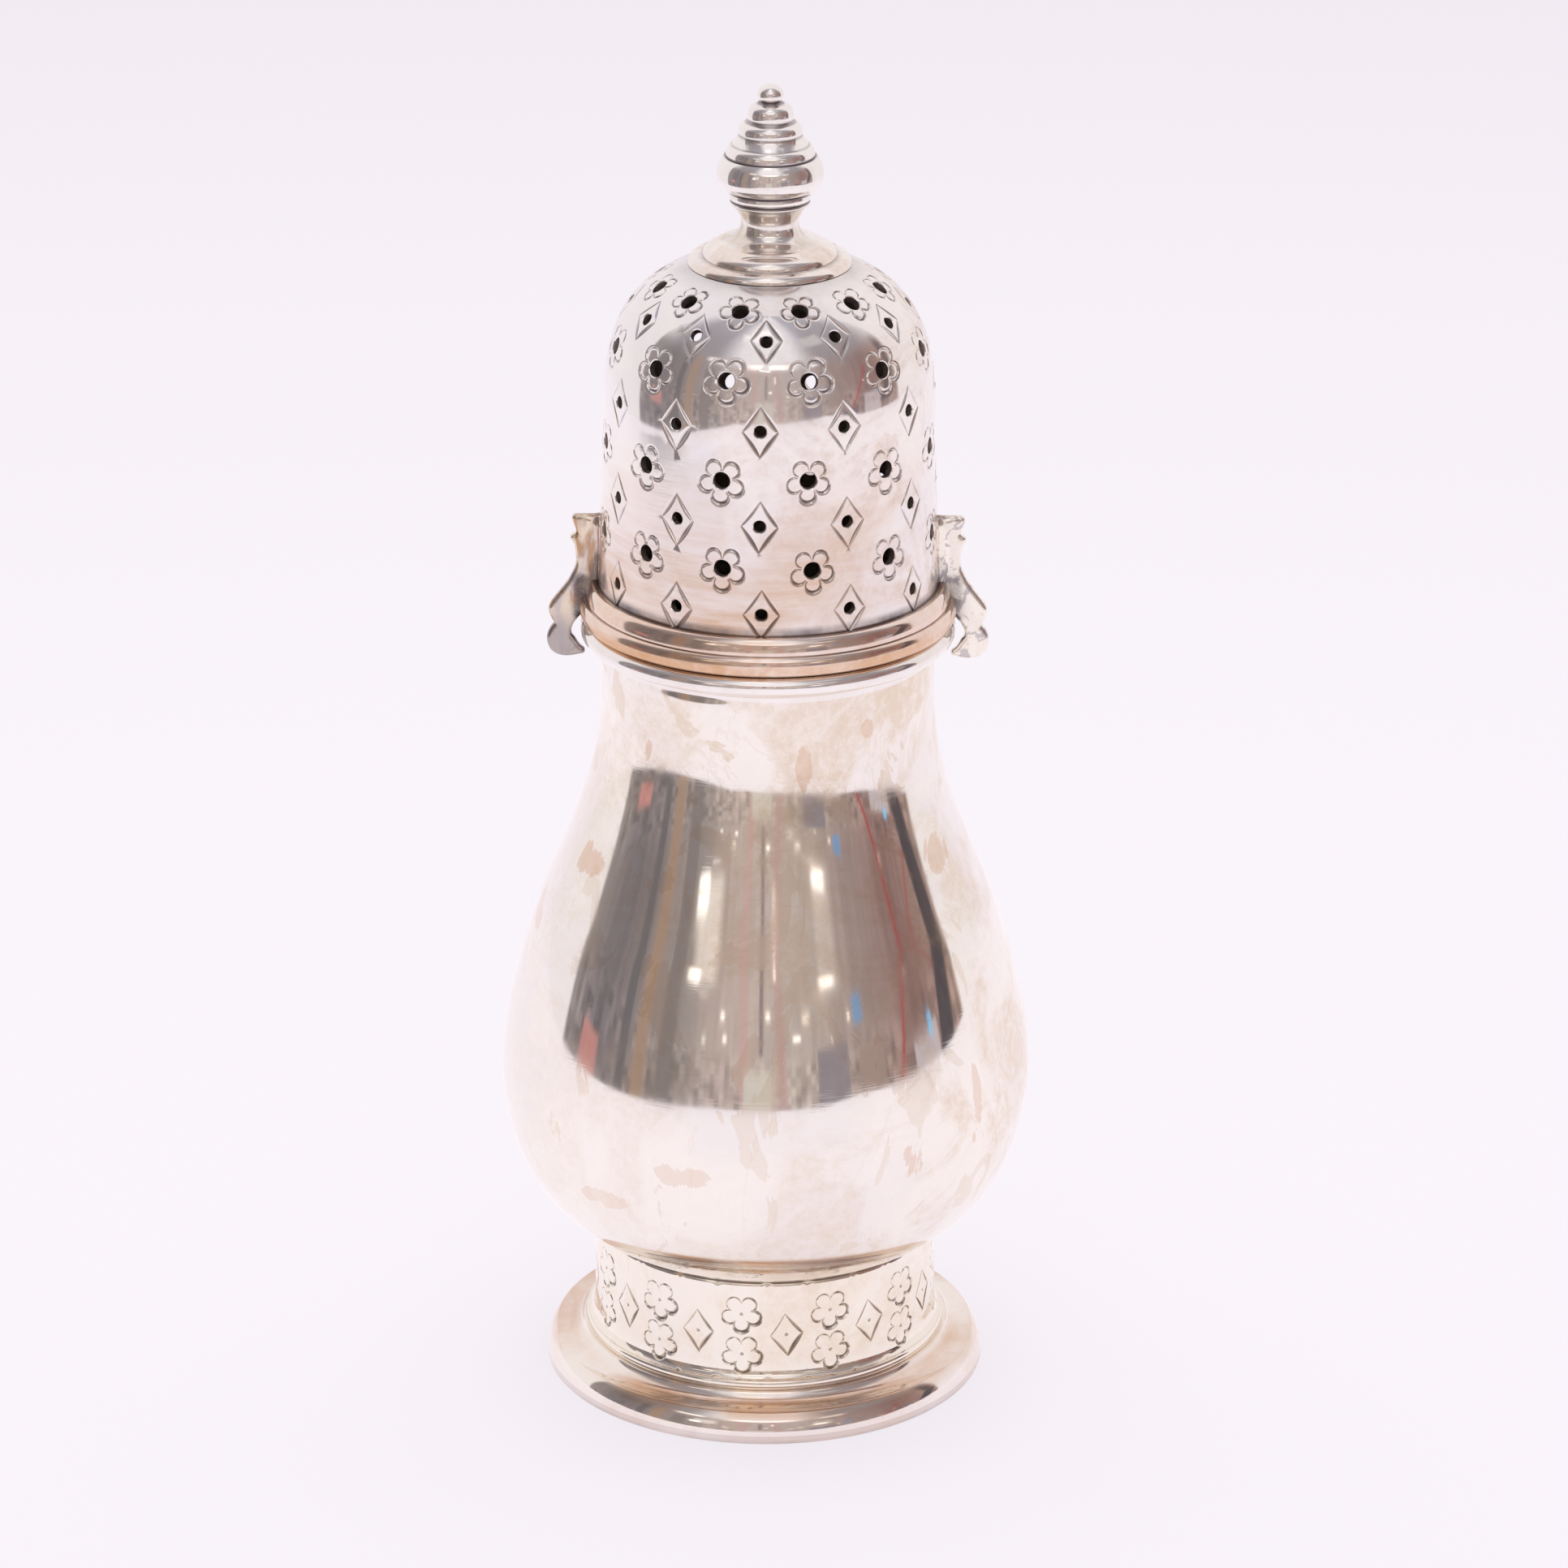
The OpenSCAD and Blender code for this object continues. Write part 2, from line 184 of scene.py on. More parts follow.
def spline(points: Sequence[Point], steps: int = 6) -> Array:
    """A smooth path through points.

    Args:
        points: The points, in order.
        steps: Stretches between each two of them.

    Returns:
        Points on a Catmull-Rom curve, the ends included.
    """
    p = np.asarray(points, float)
    p = np.vstack([2 * p[0] - p[1], p, 2 * p[-1] - p[-2]])
    parts = []
    for a, b, c, d in zip(p[:-3], p[1:-2], p[2:-1], p[3:]):
        parts.append(bezier(b, b + (c - a) / 6, c - (d - b) / 6, c, steps))
    return chain(*parts)


def within(points: Array, border: Array) -> Array:
    """Whether each point lies inside a closed border.

    Args:
        points: Places.
        border: Corners of the border, in order.

    Returns:
        One truth value for each point.
    """
    x, y = points[:, 0, None], points[:, 1, None]
    (x0, y0), (x1, y1) = border.T, np.roll(border, -1, 0).T
    crossed = ((y0 > y) != (y1 > y)) & (x < x0 + (y - y0) * (x1 - x0) / np.where(y1 == y0, 1, y1 - y0))
    return crossed.sum(1) % 2 == 1


def beside(path: Array, distance: float) -> Array:
    """The path moved to its left, kept off the far side of the axis.

    Args:
        path: Points in order.
        distance: How far it moves.

    Returns:
        As many points.
    """
    way = np.gradient(path, axis=0)
    way /= np.linalg.norm(way, axis=1)[:, None]
    moved = path + distance * np.stack([-way[:, 1], way[:, 0]], 1)
    moved[:, 0] = np.maximum(moved[:, 0], 0)
    return moved


def walked(start: Point, legs: Sequence[tuple[float, float, int]]) -> Array:
    """Evenly spaced points along a border of straight legs.

    Args:
        start: Where the border starts and ends.
        legs: End of each leg and its number of stretches.

    Returns:
        The points, each corner once.
    """
    corner, made = np.array(start), []
    for *end, count in legs:
        share = np.linspace(0, 1, count + 1)[:-1, None]
        made.append(corner * (1 - share) + np.array(end) * share)
        corner = np.array(end)
    return np.vstack(made)


# Meshes


def around(angle: Array) -> Array:
    """Horizontal directions, with angle 0 at the front and growing towards +X."""
    return np.stack([np.sin(angle), -np.cos(angle)], -1)


def circle(sides: int) -> Array:
    """Angles of evenly spaced places round the axis."""
    return np.linspace(0, FULL_TURN, sides, endpoint=False)


def make_object(name: str, points: Array, faces: list, oxide: Array, sharp: float = 35,
                inside: Optional[Array] = None) -> Piece:
    """Makes a smooth-shaded object with the values that its finish reads.

    Args:
        name: Name of the object.
        points: Vertices in metres.
        faces: Vertex numbers of each face.
        oxide: How dark each vertex is with oxide and painted shade, from 0 to 1.
        sharp: Edges that turn by more than this angle in degrees stay sharp.
        inside: 1 for each vertex on the unpolished inside, 0 elsewhere.

    Returns:
        The object, linked to the scene, with its faces outwards.
    """
    mesh = bpy.data.meshes.new(name)
    mesh.from_pydata(points.tolist(), [], faces)
    mesh.update()
    mesh.calc_loop_triangles()
    corners = np.array([t.vertices[:] for t in mesh.loop_triangles])
    a, b, c = (points[corners[:, i]] for i in range(3))
    if np.einsum("ij,ij->i", a, np.cross(b, c)).sum() < 0:
        mesh.flip_normals()
    layers = {"oxide": oxide, "inside": np.zeros(len(points)) if inside is None else inside}
    for label, values in layers.items():
        mesh.attributes.new(label, "FLOAT", "POINT").data.foreach_set("value", values.astype(np.float32))
    mesh.shade_smooth()
    mesh.set_sharp_from_angle(angle=math.radians(sharp))
    return linked(bpy.data.objects.new(name, mesh))


def linked(piece: Piece) -> Piece:
    """The object, put into the scene."""
    bpy.context.scene.collection.objects.link(piece)
    return piece


def read_values(source: "bpy.types.bpy_prop_collection", key: str, width: int = 1,
                kind: type = np.float32) -> Array:
    """One property of all vertices, corners or faces of a mesh.

    Args:
        source: The vertices, corners or faces.
        key: Name of the property.
        width: Numbers that each of them has.
        kind: Type of these numbers.

    Returns:
        The numbers, in rows of the width if it is more than 1.
    """
    values = np.zeros(len(source) * width, kind)
    source.foreach_get(key, values)
    return values.reshape(-1, width) if width > 1 else values


def hollow_oxide_and_shade(outline: Array, seats: Sequence[Point], reach: float, share: float) -> Array:
    """How much oxide polishing leaves along an outline, together with painted shade in its hollow corners
    and at seats.

    Args:
        outline: Closed outline, radius and height.
        seats: Places where another piece meets this one.
        reach: Distance over which the oxide fades.
        share: How much of it stays in the piece's own corners.

    Returns:
        A value from 0 to 1 for each point, high in hollow corners and at seats.
    """
    ahead = np.roll(outline, -1, 0) - outline
    back = outline - np.roll(outline, 1, 0)
    cross = back[:, 0] * ahead[:, 1] - back[:, 1] * ahead[:, 0]
    turn = np.arctan2(cross, (back * ahead).sum(1))
    hollow = np.clip(-turn * np.sign(turn.sum()), 0, None)
    near = np.exp(-(np.linalg.norm(outline[:, None] - outline[None], axis=-1) / reach) ** 2)
    dark = near @ hollow / 1.3 * share
    for seat in seats:
        dark += np.exp(-(np.linalg.norm(outline - np.asarray(seat), axis=1) / (1.4 * reach)) ** 2)
    return np.clip(dark, 0, 1)


def stitched(rings: Sequence[Array], closed: bool = True) -> list[tuple[int, ...]]:
    """Faces between rings of vertices.

    Args:
        rings: Vertex numbers of each ring; a ring of one vertex is a pole.
        closed: Whether the last ring joins the first.

    Returns:
        The vertex numbers of each face.
    """
    ahead = [*rings[1:], rings[0]] if closed else rings[1:]
    faces = []
    for low, high in zip(rings, ahead):
        sides = max(len(low), len(high))
        if sides == 1:
            continue
        for j in range(sides):
            k = (j + 1) % sides
            corner = (low[j % len(low)], low[k % len(low)], high[k % len(high)], high[j % len(high)])
            faces.append(tuple(int(i) for i in dict.fromkeys(corner)))
    return faces


def turned(name: str, outline: Array, seats: Sequence[Point] = (), segments: int = 192,
           reach: float = 0.2 * MM, share: float = 0.5, skin: Optional[int] = None) -> Piece:
    """Makes a piece of revolution from its closed outline.

    Args:
        name: Name of the object.
        outline: Radius and height of each point; points on the axis become poles.
        seats: Places where another piece meets this one, which hold oxide and painted shade.
        segments: Faces round the axis.
        reach: Distance over which the oxide and painted shade fade out of a corner.
        share: How much of them stays in the piece's own corners.
        skin: Number of points from the start that belong to the polished outside; all if not given.

    Returns:
        The object.
    """
    ways = around(circle(segments))
    # Oxide together with painted shade in the outline's hollow corners and at its seats.
    dark = hollow_oxide_and_shade(outline, seats, reach, share)
    points, oxide, inside, rings = [], [], [], []
    for number, ((r, z), value) in enumerate(zip(outline, dark)):
        count = 1 if r < 1e-7 else segments
        rings.append(np.arange(count) + len(points))
        points += [(r * x, r * y, z) for x, y in ways[:count]]
        oxide += [value] * count
        inside += [0.0 if skin is None or number < skin else 1.0] * count
    return make_object(name, np.array(points), stitched(rings), np.array(oxide), inside=np.array(inside))


# Node trees


class Wire:
    """A socket whose operators add Math nodes to its tree."""

    def __init__(self, graph: "Graph", socket: Optional[bpy.types.NodeSocket]) -> None:
        """Wraps a socket of a tree."""
        self.graph = graph
        self.socket = socket

    def also(self, name: str) -> "Wire":
        """Another output of the same node."""
        return Wire(self.graph, self.socket.node.outputs[name])

    def math(self, operation: str, *values: "Value") -> "Wire":
        """The result of a Math node."""
        return self.graph.add("ShaderNodeMath", {"operation": operation}, dict(enumerate(values)))

    def __add__(self, other: "Value") -> "Wire":
        """Sum."""
        return self.math("ADD", self, other)

    def __sub__(self, other: "Value") -> "Wire":
        """Difference."""
        return self.math("SUBTRACT", self, other)

    def __rsub__(self, other: "Value") -> "Wire":
        """Difference, the other way round."""
        return self.math("SUBTRACT", other, self)

    def __mul__(self, other: "Value") -> "Wire":
        """Product."""
        return self.math("MULTIPLY", self, other)

    def __truediv__(self, other: "Value") -> "Wire":
        """Quotient."""
        return self.math("DIVIDE", self, other)

    __radd__ = __add__
    __rmul__ = __mul__

    def size(self) -> "Wire":
        """Absolute value."""
        return self.math("ABSOLUTE", self)

    def floor(self) -> "Wire":
        """The whole number below."""
        return self.math("FLOOR", self)

    def most(self, other: "Value") -> "Wire":
        """The larger of two values."""
        return self.math("MAXIMUM", self, other)

    def turn(self, other: "Wire") -> "Wire":
        """The angle round the axis of a place with this X and the other's Y, 0 at the front."""
        return self.math("ARCTAN2", self, 0 - other)

    def rise(self, low: float, high: float) -> "Wire":
        """0 at low, 1 at high, with a smooth step between; low may be above high.

        Args:
            low: Value that gives 0.
            high: Value that gives 1.

        Returns:
            The step.
        """
        inputs = {"Value": self, "From Min": min(low, high), "From Max": max(low, high)}
        step = self.graph.add("ShaderNodeMapRange", {"interpolation_type": "SMOOTHSTEP"}, inputs)
        return step if low < high else 1 - step


Value = Union[Wire, float, Sequence[float], None]


class Graph:
    """A node tree that is written as expressions."""

    def __init__(self, tree: bpy.types.NodeTree) -> None:
        """Takes over a tree and empties it."""
        self.tree = tree
        tree.nodes.clear()

    def add(self, kind: str, settings: Optional[dict] = None, inputs: Optional[dict] = None,
            output: Union[int, str] = 0) -> Wire:
        """Adds one node.

        Args:
            kind: The node's type.
            settings: Its properties, set first; stops are those of a colour ramp.
            inputs: Values or wires of its sockets, by name or number.
            output: The output to return.

        Returns:
            That output as a wire.
        """
        node = self.tree.nodes.new(kind)
        for key, value in (settings or {}).items():
            if key == "stops":
                self._stops(node.color_ramp, value)
            else:
                setattr(node, key, value)
        for key, value in (inputs or {}).items():
            if isinstance(value, Wire):
                self.tree.links.new(value.socket, node.inputs[key])
            elif value is not None:
                node.inputs[key].default_value = value
        return Wire(self, node.outputs[output] if node.outputs else None)

    @staticmethod
    def _stops(ramp: bpy.types.ColorRamp, stops: Sequence[tuple[float, Colour]]) -> None:
        """Sets the stops of a colour ramp.

        Args:
            ramp: The colour ramp.
            stops: Place and colour of each.
        """
        while len(ramp.elements) < len(stops):
            ramp.elements.new(0.5)
        for element, (place, colour) in zip(ramp.elements, stops):
            element.position = place
            element.color = (*colour, 1)

    def noise(self, where: Wire, scale: float, detail: float = 2, rough: float = 0.5,
              bend: float = 0) -> Wire:
        """Noise between 0 and 1."""
        inputs = {"Vector": where, "Scale": scale, "Detail": detail, "Roughness": rough, "Distortion": bend}
        return self.add("ShaderNodeTexNoise", {}, inputs)

    def mix(self, share: Value, first: Union[Wire, Colour], second: Union[Wire, Colour]) -> Wire:
        """One colour laid over another."""
        a, b = ((*c, 1) if isinstance(c, tuple) else c for c in (first, second))
        return self.add("ShaderNodeMix", {"data_type": "RGBA"}, {0: share, 6: a, 7: b}, 2)

    def vector(self, x: Value, y: Value, z: Value) -> Wire:
        """A vector from three values."""
        return self.add("ShaderNodeCombineXYZ", {}, {0: x, 1: y, 2: z})

    def place(self) -> tuple[Wire, Wire, Wire, Wire]:
        """The piece's own coordinates: the place, then its X, Y and Z.

        Returns:
            Four wires.
        """
        spot = self.add("ShaderNodeTexCoord", output="Object")
        x = self.add("ShaderNodeSeparateXYZ", {}, {0: spot})
        return spot, x, x.also("Y"), x.also("Z")

    def layer(self, name: str) -> Wire:
        """An attribute of the mesh."""
        return self.add("ShaderNodeAttribute", {"attribute_name": name}, output="Fac")

    def end(self, shader: Wire) -> None:
        """Shows a shader on the surface."""
        self.add("ShaderNodeOutputMaterial", {}, {"Surface": shader})


def new_material(name: str) -> tuple[Material, Graph]:
    """An empty material and its tree.

    Args:
        name: Name of the material.

    Returns:
        The material, then its tree.
    """
    made = bpy.data.materials.new(name)
    made.use_nodes = True
    return made, Graph(made.node_tree)


# Finishes


@dataclass(frozen=True)
class Mark:
    """A dried drip on the metal, by the azimuth and the point of its outline where it sits."""

    azimuth: float
    radius: float
    height: float
    half_w: float
    half_h: float
    share: float


@dataclass(frozen=True)
class SilverFinish:
    """Polished silver with clouds of tarnish, stains, copper smears, scratches, and oxide with painted shade
    in hollows.

    zones are stops of height with the strengths there of film, copper smears, and grime with painted shade.
    """

    name: str
    tint: Colour = (0.955, 0.91, 0.85)
    cool: Colour = (0.9, 0.86, 0.835)
    film: Colour = (0.78, 0.635, 0.52)
    copper: Colour = (0.68, 0.42, 0.25)
    oxide: Colour = (0.12, 0.1, 0.095)
    inner: Colour = (0.5, 0.41, 0.36)
    zones: tuple = ((0.0, 0.5, 0.0, 0.0), (0.2, 0.5, 0.0, 0.0))
    film_scale: float = 46
    film_lean: float = 0.0
    stain: float = 0.6
    roughness: float = 0.04
    haze: float = 0.16
    marks: tuple[Mark, ...] = ()
    veil: float = 0.03
    veil_tint: Colour = (0.9, 0.87, 0.85)
    veil_roughness: float = 0.42
    waviness: float = 0.05 * MM
    wave_scale: float = 60
    scratch: float = 0.0012 * MM
    height: float = 0.2

    def material(self) -> Material:
        """Builds the finish as a material.

        Returns:
            The material.
        """
        made, graph = new_material(self.name)
        place, x, y, z = graph.place()
        zone = self._zone(graph, z)
        film = self._film(graph, place) * zone * (1 + x * self.film_lean)
        stain = self._stain(graph, graph.vector(x, y, z * 0.55)) * zone * self.stain
        smear = self._smear(graph, x, y, z) * zone.also("Green")
        if self.marks:
            smear = smear.most(self._drips(graph, x, y, z))
        streaks = self._streaks(graph, x, y, z)
        inside = graph.layer("inside")
        # Oxide in cuts and corners with painted shade in the corners, and grime with painted shade round the
        # seams.
        dark = self._dark(graph, place, zone.also("Blue"))
        cold = graph.noise(place, 27, 6, 0.6, 0.6).rise(0.42, 0.6)
        colour = graph.mix(cold, self.tint, self.cool)
        covers = (
            (film, self.film), (stain, self.film), (smear, self.copper), (dark, self.oxide),
            (inside, self.inner),
        )
        for share, tone in covers:
            colour = graph.mix(share, colour, tone)
        clouds = graph.noise(place, 90, 5, 0.6, 0.4).rise(0.42, 0.75)
        rough = self.roughness + self.haze * (clouds * 0.3 + film * 0.6 + stain * 0.5 + smear * 0.6)
        rough = rough + streaks * 0.05 + dark * 0.3 + inside * 0.45
        normal = self._relief(graph, place, streaks)
        inputs = {"Base Color": colour, "Metallic": 1.0, "Roughness": rough, "Normal": normal}
        shader = graph.add("ShaderNodeBsdfPrincipled", {}, inputs)
        pale = graph.mix(inside, graph.mix(dark, self.veil_tint, self.oxide), self.inner)
        inputs |= {"Base Color": pale, "Roughness": self.veil_roughness}
        veil = graph.add("ShaderNodeBsdfPrincipled", {}, inputs)
        graph.end(graph.add("ShaderNodeMixShader", {}, {0: self.veil, 1: shader, 2: veil}))
        return made

    def _zone(self, graph: Graph, z: Wire) -> Wire:
        """Strengths of film, copper, and grime with painted shade at each height, as red, green and blue.

        Args:
            graph: Tree of the finish.
            z: Height.

        Returns:
            The first of the three outputs.
        """
        stops = [(at / self.height, tuple(strengths)) for at, *strengths in self.zones]
        ramp = graph.add("ShaderNodeValToRGB", {"stops": stops}, {0: z / self.height})
        return graph.add("ShaderNodeSeparateColor", {}, {0: ramp})

    def _film(self, graph: Graph, place: Wire) -> Wire:
        """Share of tarnish: cloudy patches over a thin even film, with a fine mottle.

        Args:
            graph: Tree of the finish.
            place: Where it is read.

        Returns:
            The share.
        """
        patch = graph.noise(place, self.film_scale, 9, 0.64, 0.9).rise(0.43, 0.58)
        mottle = graph.noise(place, self.film_scale * 11, 5, 0.72).rise(0.3, 0.75)
        return (0.18 + patch * 0.72) * (0.55 + 0.9 * mottle)

    def _stain(self, graph: Graph, place: Wire) -> Wire:
        """Dried drops and tide marks: crisp patches with a darker rim.

        Args:
            graph: Tree of the finish.
            place: Where it is read.

        Returns:
            Their share.
        """
        cloud = graph.noise(place, self.film_scale * 1.9, 4, 0.55, 1.4)
        inside = cloud.rise(0.6, 0.61)
        rim = 1 - ((cloud - 0.603).size() / 0.01).rise(0, 1)
        drift = graph.noise(place, self.film_scale * 0.7, 6, 0.62, 1.0)
        tide = 1 - ((drift - 0.52).size() / 0.01).rise(0, 1)
        return inside * 0.75 + rim * 0.25 + tide * 0.35

    def _smear(self, graph: Graph, x: Wire, y: Wire, z: Wire) -> Wire:
        """Warm tarnish that rubbing has drawn out sideways.

        Args:
            graph: Tree of the finish.
            x: X of the place.
            y: Y of the place.
            z: Its height.

        Returns:
            Its share.
        """
        broad = graph.noise(graph.vector(x, y, z), 34, 3, 0.5, 0.5).rise(0.4, 0.56)
        drawn = graph.noise(graph.vector(x * 40, y * 40, z * 420), 1, 6, 0.66, 0.3).rise(0.3, 0.66)
        return (0.12 + 0.88 * broad) * (0.28 + 0.72 * drawn)

    def _drips(self, graph: Graph, x: Wire, y: Wire, z: Wire) -> Wire:
        """Single dried drips with ragged, crisp edges.

        Args:
            graph: Tree of the finish.
            x: X of the place.
            y: Y of the place.
            z: Its height.

        Returns:
            The share of the strongest drip.
        """
        turn = x.turn(y)
        ragged = (graph.noise(graph.vector(x, y, z * 0.6), 130, 7, 0.66, 1.3) - 0.47) * 6.5
        total = 0.0
        for mark in self.marks:
            across = (turn - math.radians(mark.azimuth)) * (mark.radius / mark.half_w)
            up = (z - mark.height) / mark.half_h
            share = (across * across + up * up + ragged).rise(1.1, 0.85) * mark.share
            total = share.most(total)
        return total

    def _dark(self, graph: Graph, place: Wire, grime_and_shade: Wire) -> Wire:
        """Oxide that polishing leaves in cuts and corners, with painted shade in the corners, and grime with
        painted shade round the seams.

        Args:
            graph: Tree of the finish.
            place: Where it is read.
            grime_and_shade: Strength of the grime and painted shade there.

        Returns:
            The share of the darker of both.
        """
        uneven = graph.noise(place, 700, 4)
        deposit = graph.noise(place, 110, 5, 0.6).rise(0.3, 0.7)
        oxide = (graph.layer("oxide") * (0.75 + 0.5 * uneven)).rise(0.1, 0.8) * 0.9
        return oxide.most(grime_and_shade * (0.35 + 0.65 * deposit))

    def _streaks(self, graph: Graph, x: Wire, y: Wire, z: Wire) -> Wire:
        """Fine polishing lines that run round the piece, broken into short lengths.

        Args:
            graph: Tree of the finish.
            x: X of the place.
            y: Y of the place.
            z: Its height.

        Returns:
            Their strength.
        """
        lines = graph.noise(graph.vector(x * 90, y * 90, z * 5200), 1, 3, 0.65)
        broken = graph.noise(graph.vector(x, y, z), 160, 3)
        return lines.rise(0.5, 0.8) * broken.rise(0.4, 0.65)

    def _relief(self, graph: Graph, place: Wire, streaks: Wire) -> Wire:
        """Normals of slightly uneven, hand-worked metal.

        Args:
            graph: Tree of the finish.
            place: Where it is read.
            streaks: Strength of the polishing lines.

        Returns:
            The normal.
        """
        normal = None
        waves = graph.noise(place, self.wave_scale, 1.5, 0.4)
        for height, distance in ((waves, self.waviness), (streaks, self.scratch)):
            inputs = {"Height": height, "Distance": distance, "Strength": 1.0, "Normal": normal}
            normal = graph.add("ShaderNodeBump", {}, inputs)
        return normal


@dataclass(frozen=True)
class CastFinish:
    """Cast and filed metal: matt, pitted, with drawn-out tarnish, flakes of it, and dark oxide with painted
    shade where the mesh asks for it.

    Below the first of the two heights it turns to a darker tint, in full at the second: painted shade over
    the lower part.
    """

    name: str
    tint: Colour
    bloom: Colour
    flake: Colour
    flakes: float
    brown: float
    roughness: float
    pit_depth: float
    flake_from: float = 0.6
    low_shade: float = 0.0
    low_shade_tint: Colour = (0.36, 0.33, 0.345)
    low_shade_z: tuple[float, float] = (121.5 * MM, 116.5 * MM)
    brown_tint: Colour = (0.5, 0.32, 0.2)
    black: Colour = (0.1, 0.088, 0.092)

    def material(self) -> Material:
        """Builds the finish as a material.

        Returns:
            The material.
        """
        made, graph = new_material(self.name)
        place, x, y, z = graph.place()
        drawn = graph.vector(x * 300, y * 300, z * 90)
        broad = graph.noise(drawn, 1, 5, 0.6, 0.5)
        warm = graph.noise(drawn, 1.7, 4, 0.55, 0.8)
        patches = graph.noise(place, 420, 6, 0.62, 0.8)
        grain = graph.noise(place, 2600, 4, 0.6)
        oxide = graph.layer("oxide")
        loose = (patches + oxide * 0.14).rise(self.flake_from, self.flake_from + 0.04) * self.flakes
        black = (oxide * (0.6 + 0.8 * patches)).rise(0.15, 0.95)
        colour = graph.mix(broad.rise(0.4, 0.6), self.tint, self.bloom)
        covers = (
            (warm.rise(0.5, 0.66) * self.brown, self.brown_tint),
            # Painted shade over the lower part of the piece.
            (z.rise(*self.low_shade_z) * self.low_shade, self.low_shade_tint),
            (loose, self.flake), (black * 0.9, self.black),
        )
        for share, tone in covers:
            colour = graph.mix(share, colour, tone)
        rough = self.roughness + 0.16 * grain + 0.12 * loose + 0.15 * black
        height = grain * 0.4 + patches
        pits = {"Height": height, "Distance": self.pit_depth, "Strength": 1.0}
        bump = graph.add("ShaderNodeBump", {}, pits)
        inputs = {"Base Color": colour, "Metallic": 1.0, "Roughness": rough, "Normal": bump}
        graph.end(graph.add("ShaderNodeBsdfPrincipled", {}, inputs))
        return made


# Engraving


class Wall:
    """A thin wall of revolution, measured along its outer outline."""

    def __init__(self, outline: Array) -> None:
        """Takes the outer outline, from below upwards.

        Args:
            outline: Radius and height of each point.
        """
        run = np.concatenate([[0], np.cumsum(np.linalg.norm(np.diff(outline, axis=0), axis=1))])
        self.length = float(run[-1])
        self.v = np.linspace(0, self.length, int(self.length / (0.05 * MM)))
        self.r, self.z = (np.interp(self.v, run, outline[:, i]) for i in range(2))
        lean, rise = np.gradient(self.z), -np.gradient(self.r)
        size = np.hypot(lean, rise)
        self.lean, self.rise = lean / size, rise / size

    def at(self, v: Array) -> list:
        """Radius, height and the two parts of the outward normal at places along the wall."""
        return [np.interp(v, self.v, part) for part in (self.r, self.z, self.lean, self.rise)]

    def radius(self, v: Array) -> Array:
        """Radius at places along the wall."""
        return np.interp(v, self.v, self.r)

    def along(self, height: float) -> float:
        """Place along the wall at a height."""
        return float(np.interp(height, self.z, self.v))


@dataclass(frozen=True)
class Stroke:
    """One V-shaped cut of the graver, in millimetres on the wall: a line and its half width along it.

    The metal beside a cut is drawn down with it, over reach half widths and by sink half widths; it
    leans less beside cuts whose half width is below full.
    """

    line: Array
    half: Array
    steep: float = 0.95
    reach: float = 1.8
    sink: float = 0.2
    full: float = 0.12

    @classmethod
    def pointed(cls, line: Array, half: Array, reach: float) -> "Stroke":
        """A stroke that runs out to a point at both ends.

        Args:
            line: Points of the cut.
            half: Half width at each.
            reach: How far it draws the metal down.

        Returns:
            The stroke.
        """
        first, last = line[0] - line[1], line[-1] - line[-2]
        first, last = first / np.linalg.norm(first), last / np.linalg.norm(last)
        ends = [line[0] + first * 1.5 * half[0]], [line[-1] + last * 1.5 * half[-1]]
        return cls(np.vstack([ends[0], line, ends[1]]), np.concatenate([[0.015], half, [0.015]]),
        reach=reach)

    def edges(self) -> list[Array]:
        """The cut's bottom line, its two upper edges and the ends of the drawn metal.

        Returns:
            Five lines.
        """
        way = np.gradient(self.line, axis=0)
        way /= np.linalg.norm(way, axis=1)[:, None]
        across = np.stack([-way[:, 1], way[:, 0]], 1) * self.half[:, None]
        wide = across * (1 + self.reach)
        return [self.line, self.line + across, self.line - across, self.line + wide, self.line - wide]

    def depth(self, points: Array) -> tuple[Array, Array, Array]:
        """How deep the metal lies at points.

        Args:
            points: Places on the wall.

        Returns:
            The depth of the cut itself, the depth of the metal beside it, and that metal's slope.
        """
        start, way = self.line[:-1], np.diff(self.line, axis=0)
        from_start = points[:, None] - start
        t = np.clip((from_start * way).sum(-1) / (way * way).sum(-1), 0, 1)
        off = from_start - t[..., None] * way
        apart = np.linalg.norm(off, axis=-1)
        half = self.half[:-1] + t * np.diff(self.half)
        near = np.argmax(half * (1 + self.reach) - apart, axis=1)
        row = np.arange(len(points))
        off, apart, half = off[row, near], apart[row, near], half[row, near]
        cut = np.clip(half - apart, 0, None) * self.steep
        share = np.clip(1 - np.clip(apart - half, 0, None) / (half * self.reach), 0, 1)
        slope = -2 * self.sink / self.reach * share / np.maximum(apart, 1e-6)
        slope *= np.clip(half / self.full, 0, 1)
        return cut, self.sink * half * share ** 2, off * slope[:, None]


